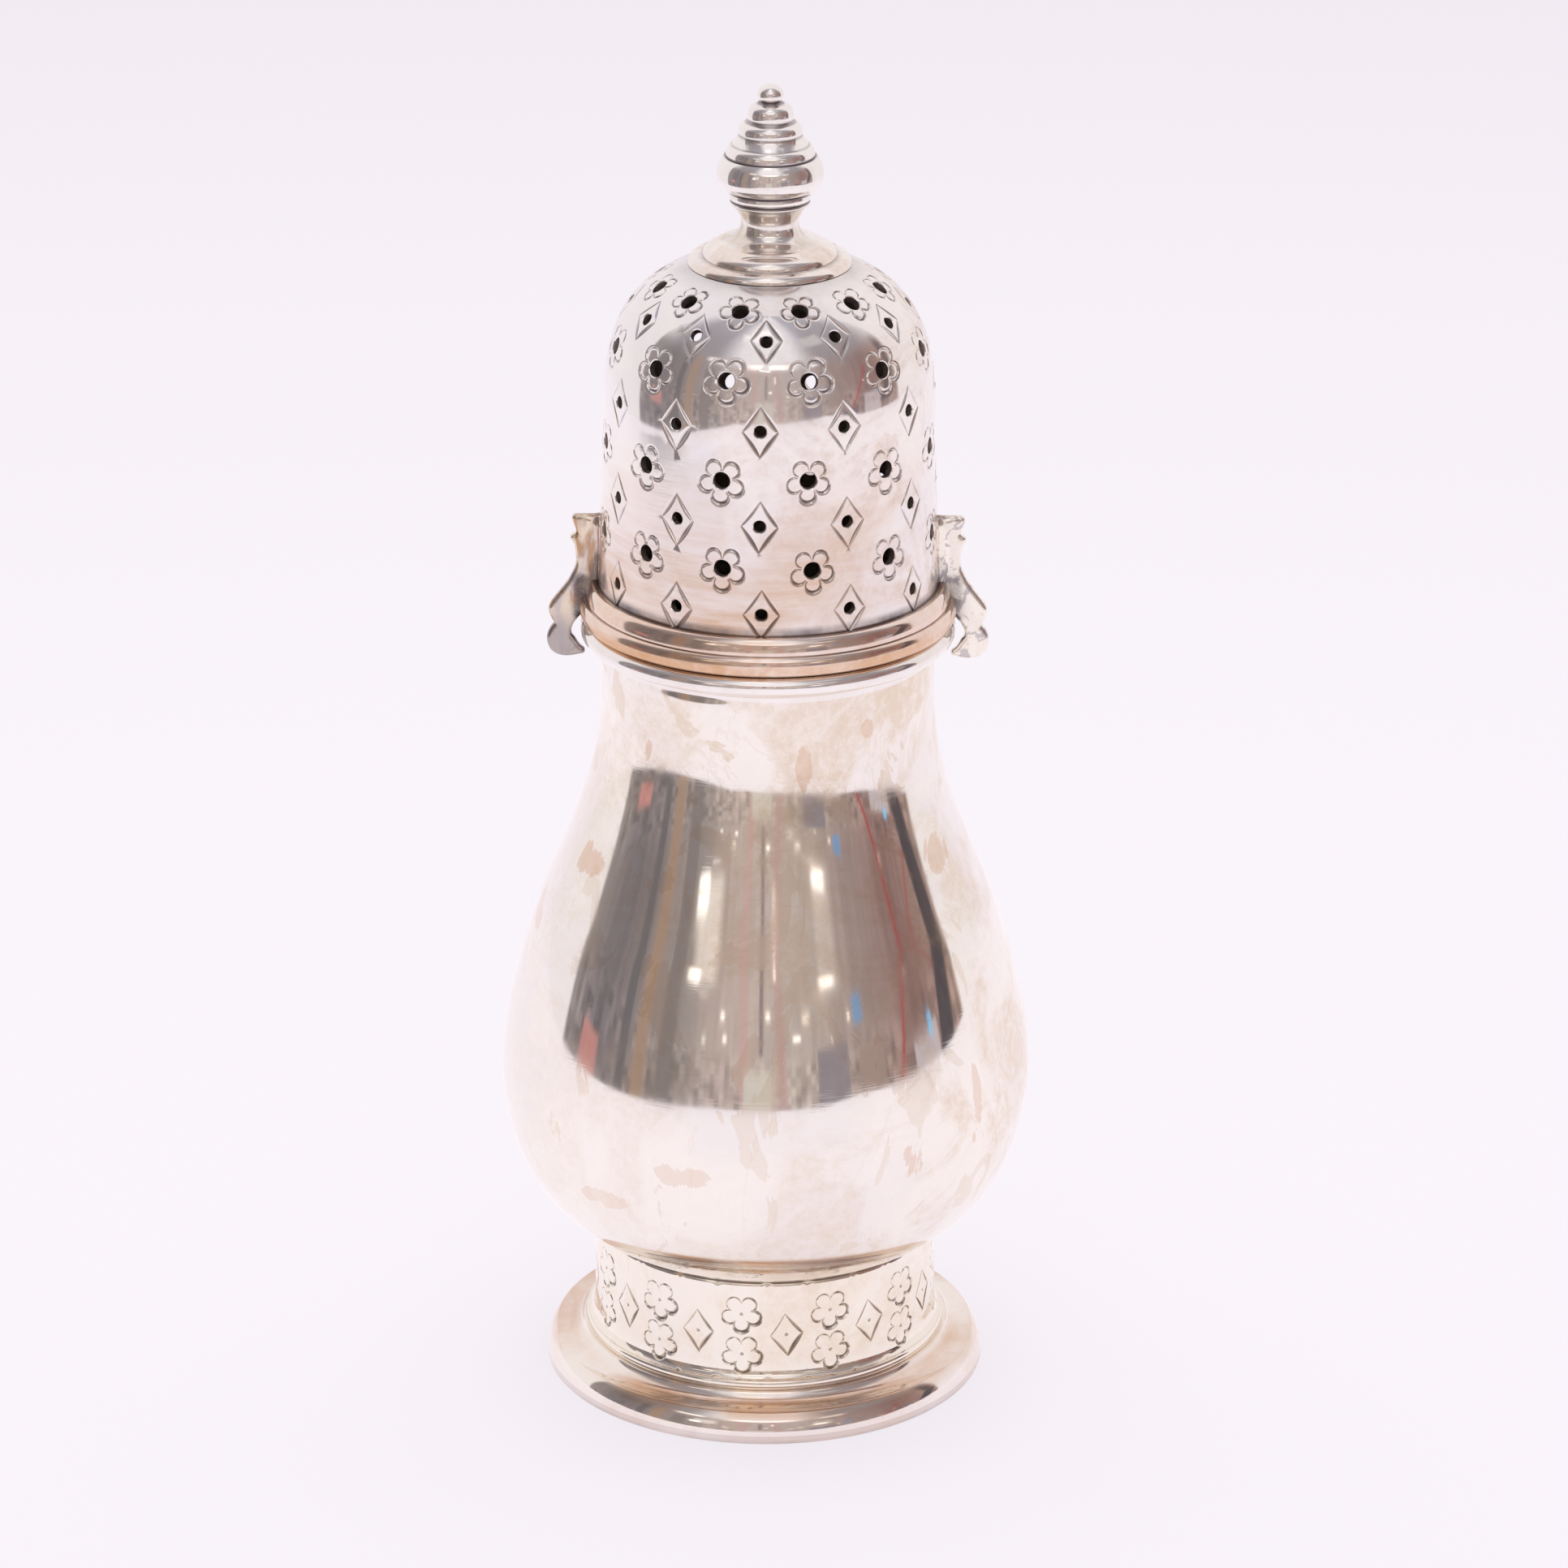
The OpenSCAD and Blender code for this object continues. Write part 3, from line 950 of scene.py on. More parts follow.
@dataclass(frozen=True)
class Motif:
    """A figure cut by hand at one place of a tile; lengths are millimetres on the wall."""

    figure: Figure
    hole: float = 0.0
    dot: float = 0.0
    x: float = 0.0
    y: float = 0.0
    tilt: float = 0.0
    size: float = 1.0
    petal_tip: float = 3.25
    petal_half: float = 1.2
    diamond_half_w: float = 2.6
    diamond_half_h: float = 3.8
    hollow: float = 0.1
    cut_half: float = 0.235
    press: float = 0.22
    reach: float = 1.5
    PETALS = 5

    def varied(self, chance: Random) -> "Motif":
        """The same motif as a hand would set it again, a little off.

        Args:
            chance: Source of the differences.

        Returns:
            The new motif.
        """
        return replace(
            self,
            x=self.x + chance.uniform(-0.3, 0.3),
            y=self.y + chance.uniform(-0.15, 0.15),
            tilt=self.tilt + chance.uniform(-6, 6),
            size=self.size * chance.uniform(0.96, 1.03),
        )

    def strokes(self, chance: Random) -> list[Stroke]:
        """The motif's cuts.

        Args:
            chance: Source of the small differences between cuts.

        Returns:
            One stroke for each petal or side.
        """
        if self.figure is Figure.FLOWER:
            lines = [self._petal(360 / self.PETALS * k) for k in range(self.PETALS)]
        else:
            lines = self._sides()
        made = []
        for line in lines:
            swell = np.sin(np.linspace(0, math.pi, len(line))) ** 0.8
            pressed = 1 + self.press * (line @ (0.6, -0.8)) / np.linalg.norm(line, axis=1)
            half = self.cut_half * chance.uniform(0.8, 1.12) * (0.42 + 0.58 * swell) * pressed
            made.append(Stroke.pointed(self._placed(line), half, self.reach))
        return made

    def _placed(self, line: Array) -> Array:
        """The line sized, tilted and moved to the motif's place.

        Args:
            line: Points round the motif's middle.

        Returns:
            The same points on the tile.
        """
        c, s = math.cos(math.radians(self.tilt)), math.sin(math.radians(self.tilt))
        turned_line = line @ np.array([[c, s], [-s, c]])
        return turned_line * self.size + (self.x, self.y)

    def _petal(self, turn: float) -> Array:
        """One petal's outline, open towards the middle; the first petal points down.

        Args:
            turn: Angle from the first petal, in degrees.

        Returns:
            Points of the outline.
        """
        w = np.radians(np.linspace(-122, 122, 15))
        reach = self.petal_half * 0.95
        out = self.petal_tip - reach + reach * np.cos(w)
        side = self.petal_half * np.sin(w) * (0.82 + 0.18 * np.cos(w * 0.5))
        a = math.radians(turn - 90)
        return np.stack([out * math.cos(a) - side * math.sin(a), out * math.sin(a) + side * math.cos(a)], 1)

    def _sides(self) -> list[Array]:
        """The four slightly hollow sides of a diamond.

        Returns:
            Points of each side.
        """
        tips = np.array([[0, -1], [1, 0], [0, 1], [-1, 0]]) * (self.diamond_half_w, self.diamond_half_h)
        t = np.linspace(0, 1, 8)[:, None]
        sides = []
        for a, b in zip(tips, np.roll(tips, -1, 0)):
            middle = (a + b) / 2
            bow = middle * (1 - 2 * self.hollow / np.linalg.norm(middle))
            sides.append((1 - t) ** 2 * a + 2 * t * (1 - t) * bow + t * t * b)
        return sides


class Tile:
    """A patch of an engraved wall round its motifs, with edges that fit its neighbours."""

    HOLE_SIDES = 24
    CHAMFER = 0.13
    HOLE_SHARE = 0.985
    GRID = 0.95
    INNER_GRID = 1.6
    SHALLOW = 0.03
    LEAST = 1e-4
    BORE_OXIDE = 0.12
    CUT_OXIDE = (0.2, 0.42)
    SUNK_OXIDE = 0.22

    def __init__(self, wall: Wall, border: Array, middle: float, motifs: Sequence[Motif], seed: int) -> None:
        """Takes the patch.

        Args:
            wall: The wall that the patch lies on.
            border: Angle and place along the wall of each border point, anticlockwise.
            middle: Place along the wall where the motifs' millimetres start.
            motifs: What is cut into it.
            seed: Start of the small differences between cuts.
        """
        self.wall = wall
        self.border = border
        self.middle = middle
        self.motifs = motifs
        self.middle_r = float(wall.radius(middle))
        chance = Random(seed)
        self.strokes = [stroke for motif in motifs for stroke in motif.strokes(chance)]
        self.points: list = []
        self.faces: list = []
        self.kinds: list = []
        self.corner_oxide: list = []
        self.corner_inside: list = []

    def flat(self, place: Array) -> Array:
        """Millimetres on the wall of angles and places along it."""
        return np.stack([place[:, 0] * self.middle_r, place[:, 1] - self.middle], 1) / MM

    def chart(self, spot: Array) -> Array:
        """Flat millimetres of a motif's own millimetres, which keep their width where the wall narrows."""
        narrow = self.wall.radius(self.middle + spot[:, 1] * MM) / self.middle_r
        return np.stack([spot[:, 0] / narrow, spot[:, 1]], 1)

    def unchart(self, flat: Array) -> Array:
        """A motif's own millimetres of flat ones."""
        narrow = self.wall.radius(self.middle + flat[:, 1] * MM) / self.middle_r
        return np.stack([flat[:, 0] * narrow, flat[:, 1]], 1)

    def lift(self, flat: Array, depth: Array, slope: Array) -> Array:
        """Points of the frame at flat places.

        Args:
            flat: Places on the wall.
            depth: How far below the wall's outer face each point lies.
            slope: How fast that depth grows to the right and upwards.

        Returns:
            Each point, then the parts of its normal away from the axis, upwards and to the right.
        """
        angle = flat[:, 0] * MM / self.middle_r
        r, z, lean, rise = self.wall.at(self.middle + flat[:, 1] * MM)
        way = around(angle)
        at_r, at_z = r - depth * lean, z - depth * rise
        lean, rise, side = lean - slope[:, 1] * rise, rise + slope[:, 1] * lean, slope[:, 0]
        size = np.sqrt(lean ** 2 + rise ** 2 + side ** 2)
        place = [at_r * way[:, 0], at_r * way[:, 1], at_z]
        return np.stack(place + [lean / size, rise / size, side / size], 1)

    def outer(self) -> tuple[list, Array]:
        """Builds the outer face with its cuts.

        Returns:
            The vertex numbers of each hole's lower ring, and those of the border.
        """
        rim = self.flat(self.border)
        loops, lines, rings = [rim], [], []
        for motif in self.motifs:
            for radius, closed_by in self._rounds(motif):
                if closed_by:
                    rings.append(len(loops))
                loops.append(self._circle(motif, radius))
        for stroke in self.strokes:
            edges = [self.chart(edge) for edge in stroke.edges()]
            lines += [edge[within(edge, rim)] for edge in edges]
        spots, faces, first = self._triangles(loops, lines, self._grid(rim, self.GRID))
        cut, sunk, slope, bored = self._depths(self.unchart(spots))
        deepest, lowest = max(float(cut.max()), 1e-6), max(float(sunk.max()), 1e-6)
        self.points += self.lift(spots, (cut + sunk) * MM, slope).tolist()
        edge, more = self.CUT_OXIDE
        for face in faces:
            if (cut[list(face)] > self.SHALLOW).any():
                chamfer = bored[list(face)].any()
                darks = [self.BORE_OXIDE if chamfer else edge + more * cut[i] / deepest for i in face]
                self._face(face, FaceKind.CUT, darks)
            else:
                self._face(face, FaceKind.SKIN, [self.SUNK_OXIDE * sunk[i] / lowest for i in face])
        return [first[ring] for ring in rings], first[0]

    def inner(self, thickness: float) -> tuple[list, Array]:
        """Builds the inner face with its holes.

        Args:
            thickness: Thickness of the wall.

        Returns:
            The vertex numbers of each hole's ring, and those of the border.
        """
        start = len(self.points)
        rim = self.flat(self.border)
        loops = [rim] + [self._circle(motif, motif.hole) for motif in self.motifs if motif.hole]
        spots, faces, first = self._triangles(loops, [], self._grid(rim, self.INNER_GRID))
        lifted = self.lift(spots, np.full(len(spots), thickness), np.zeros((len(spots), 2)))
        lifted[:, 3:] *= -1
        self.points += lifted.tolist()
        for face in faces:
            self._face([start + i for i in reversed(face)], FaceKind.SKIN, [0.0] * 3, 1.0)
        return [ring + start for ring in first[1:]], first[0] + start

    def through(self, upper: Array, lower: Array) -> None:
        """Builds the walls of one hole between its two rings."""
        for a, b, c, d in zip(upper, np.roll(upper, -1), np.roll(lower, -1), lower):
            self._face([a, b, c, d], FaceKind.CUT, [0.2, 0.2, 0.4, 0.4], 0.4)

    def strip(self, loops: Sequence[Array], kind: FaceKind = FaceKind.CUT) -> None:
        """Builds faces between rows towards +X that follow an outline with its metal on the left.

        Args:
            loops: Vertex numbers of each row.
            kind: How the faces are shaded.
        """
        oxide = 0.3 if kind is FaceKind.CUT else 0.0
        for low, high in zip(loops, loops[1:]):
            for a, b, c, d in zip(low, low[1:], high[1:], high):
                self._face([a, b, c, d], kind, [oxide] * 4)

    def row(self, angles: Array, r: float, z: float, lean: float = 0.0, rise: float = 1.0) -> Array:
        """Adds a row of vertices at one radius and height, with the two parts of its outward normal.

        Args:
            angles: Angles of the vertices.
            r: Their radius.
            z: Their height.
            lean: Part of the normal away from the axis.
            rise: Part of the normal upwards.

        Returns:
            The vertex numbers.
        """
        start = len(self.points)
        self.points += [(r * x, r * y, z, lean, rise, 0.0) for x, y in around(angles)]
        return np.arange(len(angles)) + start

    def object(self, name: str) -> Piece:
        """The patch as an object, with what its finish and its shading need.

        Args:
            name: Name of the object.

        Returns:
            The object, in no collection yet.
        """
        data = np.array(self.points)
        mesh = bpy.data.meshes.new(name)
        mesh.from_pydata(data[:, :3].tolist(), [], self.faces)
        for label, column in (("lean", 3), ("rise", 4), ("side", 5)):
            layer = mesh.attributes.new(label, "FLOAT", "POINT")
            layer.data.foreach_set("value", data[:, column].astype(np.float32))
        mesh.attributes.new("kind", "INT", "FACE").data.foreach_set("value", np.array(self.kinds, np.int32))
        for label, values in (("oxide", self.corner_oxide), ("inside", self.corner_inside)):
            layer = mesh.attributes.new(label, "FLOAT", "CORNER")
            layer.data.foreach_set("value", np.array(values, np.float32))
        return bpy.data.objects.new(name, mesh)

    def _face(self, corners: Sequence[int], kind: FaceKind, oxide: Sequence[float],
              inside: float = 0.0) -> None:
        """Adds one face, with the oxide at its corners and how far it belongs to the unpolished inside.

        Args:
            corners: Vertex numbers.
            kind: How it is shaded.
            oxide: Oxide at each corner.
            inside: 1 for the inside.
        """
        self.faces.append(tuple(int(i) for i in corners))
        self.kinds.append(int(kind))
        self.corner_oxide += list(oxide)
        self.corner_inside += [inside] * len(corners)

    def _depths(self, own: Array) -> tuple[Array, Array, Array, Array]:
        """How deep the outer face lies.

        Args:
            own: Places in a motif's own millimetres.

        Returns:
            The depth of the cuts, the depth and the slope of the metal beside them, and what is bored.
        """
        cut, sunk, slope = np.zeros(len(own)), np.zeros(len(own)), np.zeros((len(own), 2))
        for stroke in self.strokes:
            deep, beside_it, lean = stroke.depth(own)
            slope = np.where((beside_it > sunk)[:, None], lean, slope)
            cut, sunk = np.maximum(cut, deep), np.maximum(sunk, beside_it)
        bored = np.zeros(len(own), bool)
        for motif in self.motifs:
            apart = np.hypot(own[:, 0] - motif.x, own[:, 1] - motif.y)
            if motif.hole:
                bored |= apart < motif.hole + self.CHAMFER * 0.5
                cut = np.maximum(cut, np.clip(motif.hole + self.CHAMFER - apart, 0, self.CHAMFER))
            if motif.dot:
                cut = np.maximum(cut, np.clip(motif.dot - apart, 0, None) * 0.9)
        return cut, sunk, slope, bored

    def _circle(self, motif: Motif, radius: float) -> Array:
        """A ring of flat places round a motif's middle."""
        w = circle(self.HOLE_SIDES)
        return self.chart(np.stack([motif.x + radius * np.cos(w), motif.y + radius * np.sin(w)], 1))

    def _rounds(self, motif: Motif) -> list[tuple[float, bool]]:
        """Radii of the rings round a motif's middle, and whether each is a hole's lower edge.

        Args:
            motif: The motif.

        Returns:
            Radius and truth value of each ring.
        """
        if motif.hole:
            return [(motif.hole + self.CHAMFER, False), (motif.hole, True)]
        if motif.dot:
            return [(motif.dot, False), (motif.dot * 0.4, False)]
        return []

    def _grid(self, rim: Array, step: float) -> Array:
        """Points that fill the patch between its cuts, well inside its border.

        Args:
            rim: Flat places of the border.
            step: Distance between points.

        Returns:
            The points.
        """
        low, high = rim.min(0), rim.max(0)
        rows = []
        for k, y in enumerate(np.arange(low[1] + step / 2, high[1], step * 0.87)):
            xs = np.arange(low[0] + step * (0.25 + 0.5 * (k % 2)), high[0], step)
            rows.append(np.stack([xs, np.full_like(xs, y)], 1))
        spots = np.vstack(rows)
        way = np.roll(rim, -1, 0) - rim
        inwards = np.stack([-way[:, 1], way[:, 0]], 1) / np.linalg.norm(way, axis=1)[:, None]
        inside = ((spots[:, None] - rim) * inwards).sum(-1).min(1) > 0.4 * step
        spots = spots[inside]
        own = self.unchart(spots)
        keep = np.ones(len(spots), bool)
        for stroke in self.strokes:
            apart = np.linalg.norm(own[:, None] - stroke.line, axis=-1).min(1)
            keep &= apart > stroke.half.max() * (1 + stroke.reach) + 0.15
        for motif in self.motifs:
            keep &= np.hypot(own[:, 0] - motif.x, own[:, 1] - motif.y) > max(motif.hole, motif.dot) + 0.35
        return spots[keep]

    def _triangles(self, loops: list, lines: list, loose: Array) -> tuple[Array, list, list]:
        """Triangulates the patch.

        Args:
            loops: Closed rows of points, the border first.
            lines: Open rows of points.
            loose: Points that belong to no row.

        Returns:
            The points, the faces outside the holes, and the numbers of each loop's points.
        """
        spots, edges, ranges = [], [], []
        for path, closed in [(p, True) for p in loops] + [(p, False) for p in lines]:
            start = sum(len(s) for s in spots)
            numbers = np.arange(len(path)) + start
            ranges.append(numbers)
            ends = np.roll(numbers, -1) if closed else numbers[1:]
            edges += [(int(a), int(b)) for a, b in zip(numbers, ends)]
            spots.append(path)
        every = np.vstack(spots + [loose]) if len(loose) else np.vstack(spots)
        made = delaunay_2d_cdt([Vector(p) for p in every], edges, [], 1, 1e-5, True)
        points = np.array([p[:] for p in made[0]])
        new = {old: i for i, olds in enumerate(made[3]) for old in olds}
        own = self.unchart(points)
        faces = []
        for face in made[2]:
            x, y = own[list(face)].mean(0)
            if not any(math.hypot(x - m.x, y - m.y) < m.hole * self.HOLE_SHARE for m in self.motifs):
                faces.append(list(face))
        first = [np.array([new[int(i)] for i in r]) for r in ranges[: len(loops)]]
        return points, self._without_slivers(points, faces, first[0]), first

    def _without_slivers(self, points: Array, faces: list, border: Array) -> list:
        """Drops faces without area that lie on a straight border which other faces already reach.

        Args:
            points: Flat places of the vertices.
            faces: Vertex numbers of each face.
            border: Vertex numbers of the border, in order.

        Returns:
            The faces that are needed.
        """
        a, b, c = (points[[face[i] for face in faces]] for i in range(3))
        area = (b - a)[:, 0] * (c - a)[:, 1] - (b - a)[:, 1] * (c - a)[:, 0]

        def ways(face: Sequence[int]) -> set:
            """The directed edges of a face."""
            return set(zip(face, [*face[1:], face[0]]))

        edge = [int(i) for i in border]
        sliver = (area < self.LEAST) & np.isin(faces, edge).all(1)
        kept = [face for face, drop in zip(faces, sliver) if not drop]
        reached = set().union(*(ways(face) for face in kept))
        along = ways(edge) - reached
        return kept + [face for face, drop in zip(faces, sliver) if drop and ways(face) & along]


@dataclass(frozen=True)
class Row:
    """One ring of tiles: how many there are and where the first stands.

    With a plain step, the last tile is a bare one, for the first plain place and each step from it.
    """

    tiles: Sequence[Piece]
    count: int
    start: float
    plain_step: int = 0
    plain_first: int = 0

    def inputs(self) -> dict[str, Union[int, float]]:
        """Values of the row's sockets; a step of the whole count leaves no place plain.

        Returns:
            The values by the sockets' names.
        """
        bare = self.plain_step > 0
        return {
            "Count": self.count, "First Angle": self.start, "Variants": len(self.tiles) - int(bare),
            "Plain Step": self.plain_step if bare else self.count,
            "Plain First": self.plain_first if bare else self.count,
        }


class EngravedWall:
    """A wall whose tiles are repeated round the axis by Geometry Nodes."""

    SOCKETS = (
        ("Tiles", "NodeSocketCollection"), ("Count", "NodeSocketInt"), ("First Angle", "NodeSocketFloat"),
        ("Variants", "NodeSocketInt"), ("Plain Step", "NodeSocketInt"), ("Plain First", "NodeSocketInt"),
        ("Seed", "NodeSocketInt"),
    )
    # Inputs of the least and the largest whole number of the random node, and its output of whole numbers.
    RANDOM_WHOLE = (4, 5, 2)
    SAME = 0.1
    WELD = 0.002 * MM

    def __init__(self, name: str, rows: Sequence[Row], seed: int) -> None:
        """Takes the rows of a wall and the seed of its choice among tiles.

        Args:
            name: Name of the piece.
            rows: Its rows of tiles.
            seed: Start of the choice.
        """
        self.name = name
        self.rows = rows
        self.seed = seed

    def build(self, material: Material) -> Piece:
        """Builds the wall.

        Args:
            material: Finish of the wall.

        Returns:
            A plain mesh object with smooth skin and crisp cuts.
        """
        homes = [self._home(i, row) for i, row in enumerate(self.rows)]
        tree, sockets = self._wall_tree(homes)
        label = self.name + "_carrier"
        carrier = linked(bpy.data.objects.new(label, bpy.data.meshes.new(label)))
        modifier = carrier.modifiers.new("rows", "NODES")
        modifier.node_group = tree
        for label, value in (("Seed", self.seed), ("Weld", self.WELD), ("Finish", material)):
            modifier[sockets[label]] = value
        evaluated = carrier.evaluated_get(bpy.context.evaluated_depsgraph_get())
        mesh = bpy.data.meshes.new_from_object(evaluated)
        mesh.name = self.name
        carrier.modifiers.clear()
        bpy.data.objects.remove(carrier)
        for home in homes:
            for tile in list(home.objects):
                bpy.data.objects.remove(tile)
            bpy.data.collections.remove(home)
        self._shade(mesh)
        return linked(bpy.data.objects.new(self.name, mesh))

    def _home(self, number: int, row: Row) -> bpy.types.Collection:
        """Puts a row's tiles into a collection, in the order of their names.

        Args:
            number: Number of the row.
            row: The row.

        Returns:
            The collection.
        """
        home = bpy.data.collections.new(f"{self.name}_row_{number}")
        bpy.context.scene.collection.children.link(home)
        for tile in row.tiles:
            home.objects.link(tile)
        return home

    def _row_tree(self) -> bpy.types.NodeTree:
        """The tree that sets one row's tiles round the axis.

        Returns:
            The tree, which all rows share.
        """
        tree = bpy.data.node_groups.new(self.name + "_row", "GeometryNodeTree")
        graph = Graph(tree)
        for label, kind in self.SOCKETS:
            tree.interface.new_socket(label, in_out="INPUT", socket_type=kind)
        tree.interface.new_socket("Geometry", in_out="OUTPUT", socket_type="NodeSocketGeometry")
        given = graph.add("NodeGroupInput")
        number = graph.add("GeometryNodeInputIndex")
        angle = given.also("First Angle") + number * FULL_TURN / given.also("Count")
        least, most, answer = self.RANDOM_WHOLE
        chosen = graph.add(
            "FunctionNodeRandomValue", {"data_type": "INT"},
            {least: 0, most: given.also("Variants") - 1, "Seed": given.also("Seed")}, answer,
        )
        place = number.math("MODULO", number, given.also("Plain Step"))
        bare = place.math("COMPARE", place, given.also("Plain First"), self.SAME)
        pick = chosen * (1 - bare) + given.also("Variants") * bare
        tiles = graph.add(
            "GeometryNodeCollectionInfo", {},
            {"Collection": given.also("Tiles"), "Separate Children": True, "Reset Children": False},
        )
        points = graph.add("GeometryNodePoints", {}, {"Count": given.also("Count")})
        copies = graph.add(
            "GeometryNodeInstanceOnPoints", {},
            {"Points": points, "Instance": tiles, "Pick Instance": True, "Instance Index": pick,
             "Rotation": graph.vector(0.0, 0.0, angle)},
        )
        real = graph.add("GeometryNodeRealizeInstances", {}, {"Geometry": copies})
        graph.add("NodeGroupOutput", {}, {"Geometry": real})
        return tree

    def _wall_tree(self, homes: Sequence[bpy.types.Collection]) -> tuple[bpy.types.NodeTree, dict]:
        """The tree that joins all rows, welds their edges and sets the finish.

        Args:
            homes: Collections of tiles, one for each row.

        Returns:
            The tree, and the identifier of each of its inputs.
        """
        row_tree = self._row_tree()
        tree = bpy.data.node_groups.new(self.name + "_wall", "GeometryNodeTree")
        graph = Graph(tree)
        kinds = {"Seed": "NodeSocketInt", "Weld": "NodeSocketFloat", "Finish": "NodeSocketMaterial"}
        sockets = {
            label: tree.interface.new_socket(label, in_out="INPUT", socket_type=kind).identifier
            for label, kind in kinds.items()
        }
        tree.interface.new_socket("Geometry", in_out="OUTPUT", socket_type="NodeSocketGeometry")
        given = graph.add("NodeGroupInput")
        joined = graph.add("GeometryNodeJoinGeometry")
        for number, (row, home) in enumerate(zip(self.rows, homes)):
            values = {"Tiles": home, "Seed": given.also("Seed") + number} | row.inputs()
            ring = graph.add("GeometryNodeGroup", {"node_tree": row_tree}, values)
            tree.links.new(ring.socket, joined.socket.node.inputs[0])
        weld, finish = given.also("Weld"), given.also("Finish")
        welded = graph.add("GeometryNodeMergeByDistance", {}, {"Geometry": joined, "Distance": weld})
        real = graph.add("GeometryNodeRealizeInstances", {}, {"Geometry": welded})
        dressed = graph.add("GeometryNodeSetMaterial", {}, {"Geometry": real, "Material": finish})
        graph.add("NodeGroupOutput", {}, {"Geometry": dressed})
        return tree, sockets

    @staticmethod
    def _shade(mesh: bpy.types.Mesh) -> None:
        """Gives the skin the wall's true normals and the cuts flat ones.

        Args:
            mesh: The joined wall.
        """
        place = read_values(mesh.vertices, "co", 3)
        lean, rise, side = (read_values(mesh.attributes[n].data, "value") for n in ("lean", "rise", "side"))
        kind = read_values(mesh.attributes["kind"].data, "value", kind=np.int32)
        x, y = (place[:, :2] / np.maximum(np.hypot(place[:, 0], place[:, 1]), 1e-9)[:, None]).T
        skin = np.stack([lean * x - side * y, lean * y + side * x, rise], 1)
        corner_vertex = read_values(mesh.loops, "vertex_index", kind=np.int32)
        totals = read_values(mesh.polygons, "loop_total", kind=np.int32)
        owner = np.repeat(np.arange(len(totals)), totals)
        flat = read_values(mesh.polygons, "normal", 3)[owner]
        normals = np.where((kind[owner] == int(FaceKind.SKIN))[:, None], skin[corner_vertex], flat)
        mesh.shade_smooth()
        mesh.normals_split_custom_set(normals.tolist())
        for layer in ("lean", "rise", "side", "kind"):
            mesh.attributes.remove(mesh.attributes[layer])


# Sub-assemblies


@dataclass(frozen=True)
class FrameSizes:
    """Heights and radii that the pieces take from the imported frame."""

    foot_r: float
    edge_h: float
    collar_z: float
    seat_z: float
    bowl_z: float
    belly_r: float
    mouth_z: float
    rim_r: float
    cover_z: float
    ring_top_z: float
    ring_r: float
    dome_r: float
    plate_z: float
    plate_r: float
    stem_z: float
    knop_r: float
    top_z: float
    edge_w: float = 1.6 * MM

    @classmethod
    def read(cls) -> "FrameSizes":
        """Reads the sizes from the boxes of the nodes.

        Returns:
            The sizes.
        """

        def low(node: str) -> float:
            """Lowest height of a node."""
            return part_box(node)[0].z

        def high(node: str) -> float:
            """Highest height of a node."""
            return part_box(node)[1].z

        def radius(node: str) -> float:
            """Largest radius of a turned node."""
            return max(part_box(node)[1].x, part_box(node)[1].y)

        return cls(
            foot_r=radius("foot_edge"), edge_h=high("foot_edge"), collar_z=low("foot_collar"),
            seat_z=high("foot_collar"), bowl_z=low("body_shell"), belly_r=radius("body_shell"),
            mouth_z=high("body_shell"), rim_r=radius("rim_ring"), cover_z=low("cover_ring"),
            ring_top_z=high("cover_ring"), ring_r=radius("cover_ring"), dome_r=radius("cover_dome"),
            plate_z=low("finial_plate"), plate_r=radius("finial_plate"), stem_z=low("finial_knop"),
            knop_r=radius("finial_knop"), top_z=high("finial_knop"),
        )


def hand_over(piece: Piece, node: str, body: Body) -> None:
    """Lets a piece stand for a CAD node on its body.

    Args:
        piece: The finished piece.
        node: Node that it replaces.
        body: Body that it rides on.
    """
    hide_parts(node)
    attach(piece, body.value)
    LOG.info("%s stands for %s on %s, %d faces", piece.name, node, body.value, len(piece.data.polygons))


def dress(piece: Piece, material: Material) -> Piece:
    """Gives a piece one finish.

    Args:
        piece: The piece.
        material: Its finish.

    Returns:
        The same piece.
    """
    piece.data.materials.clear()
    piece.data.materials.append(material)
    return piece


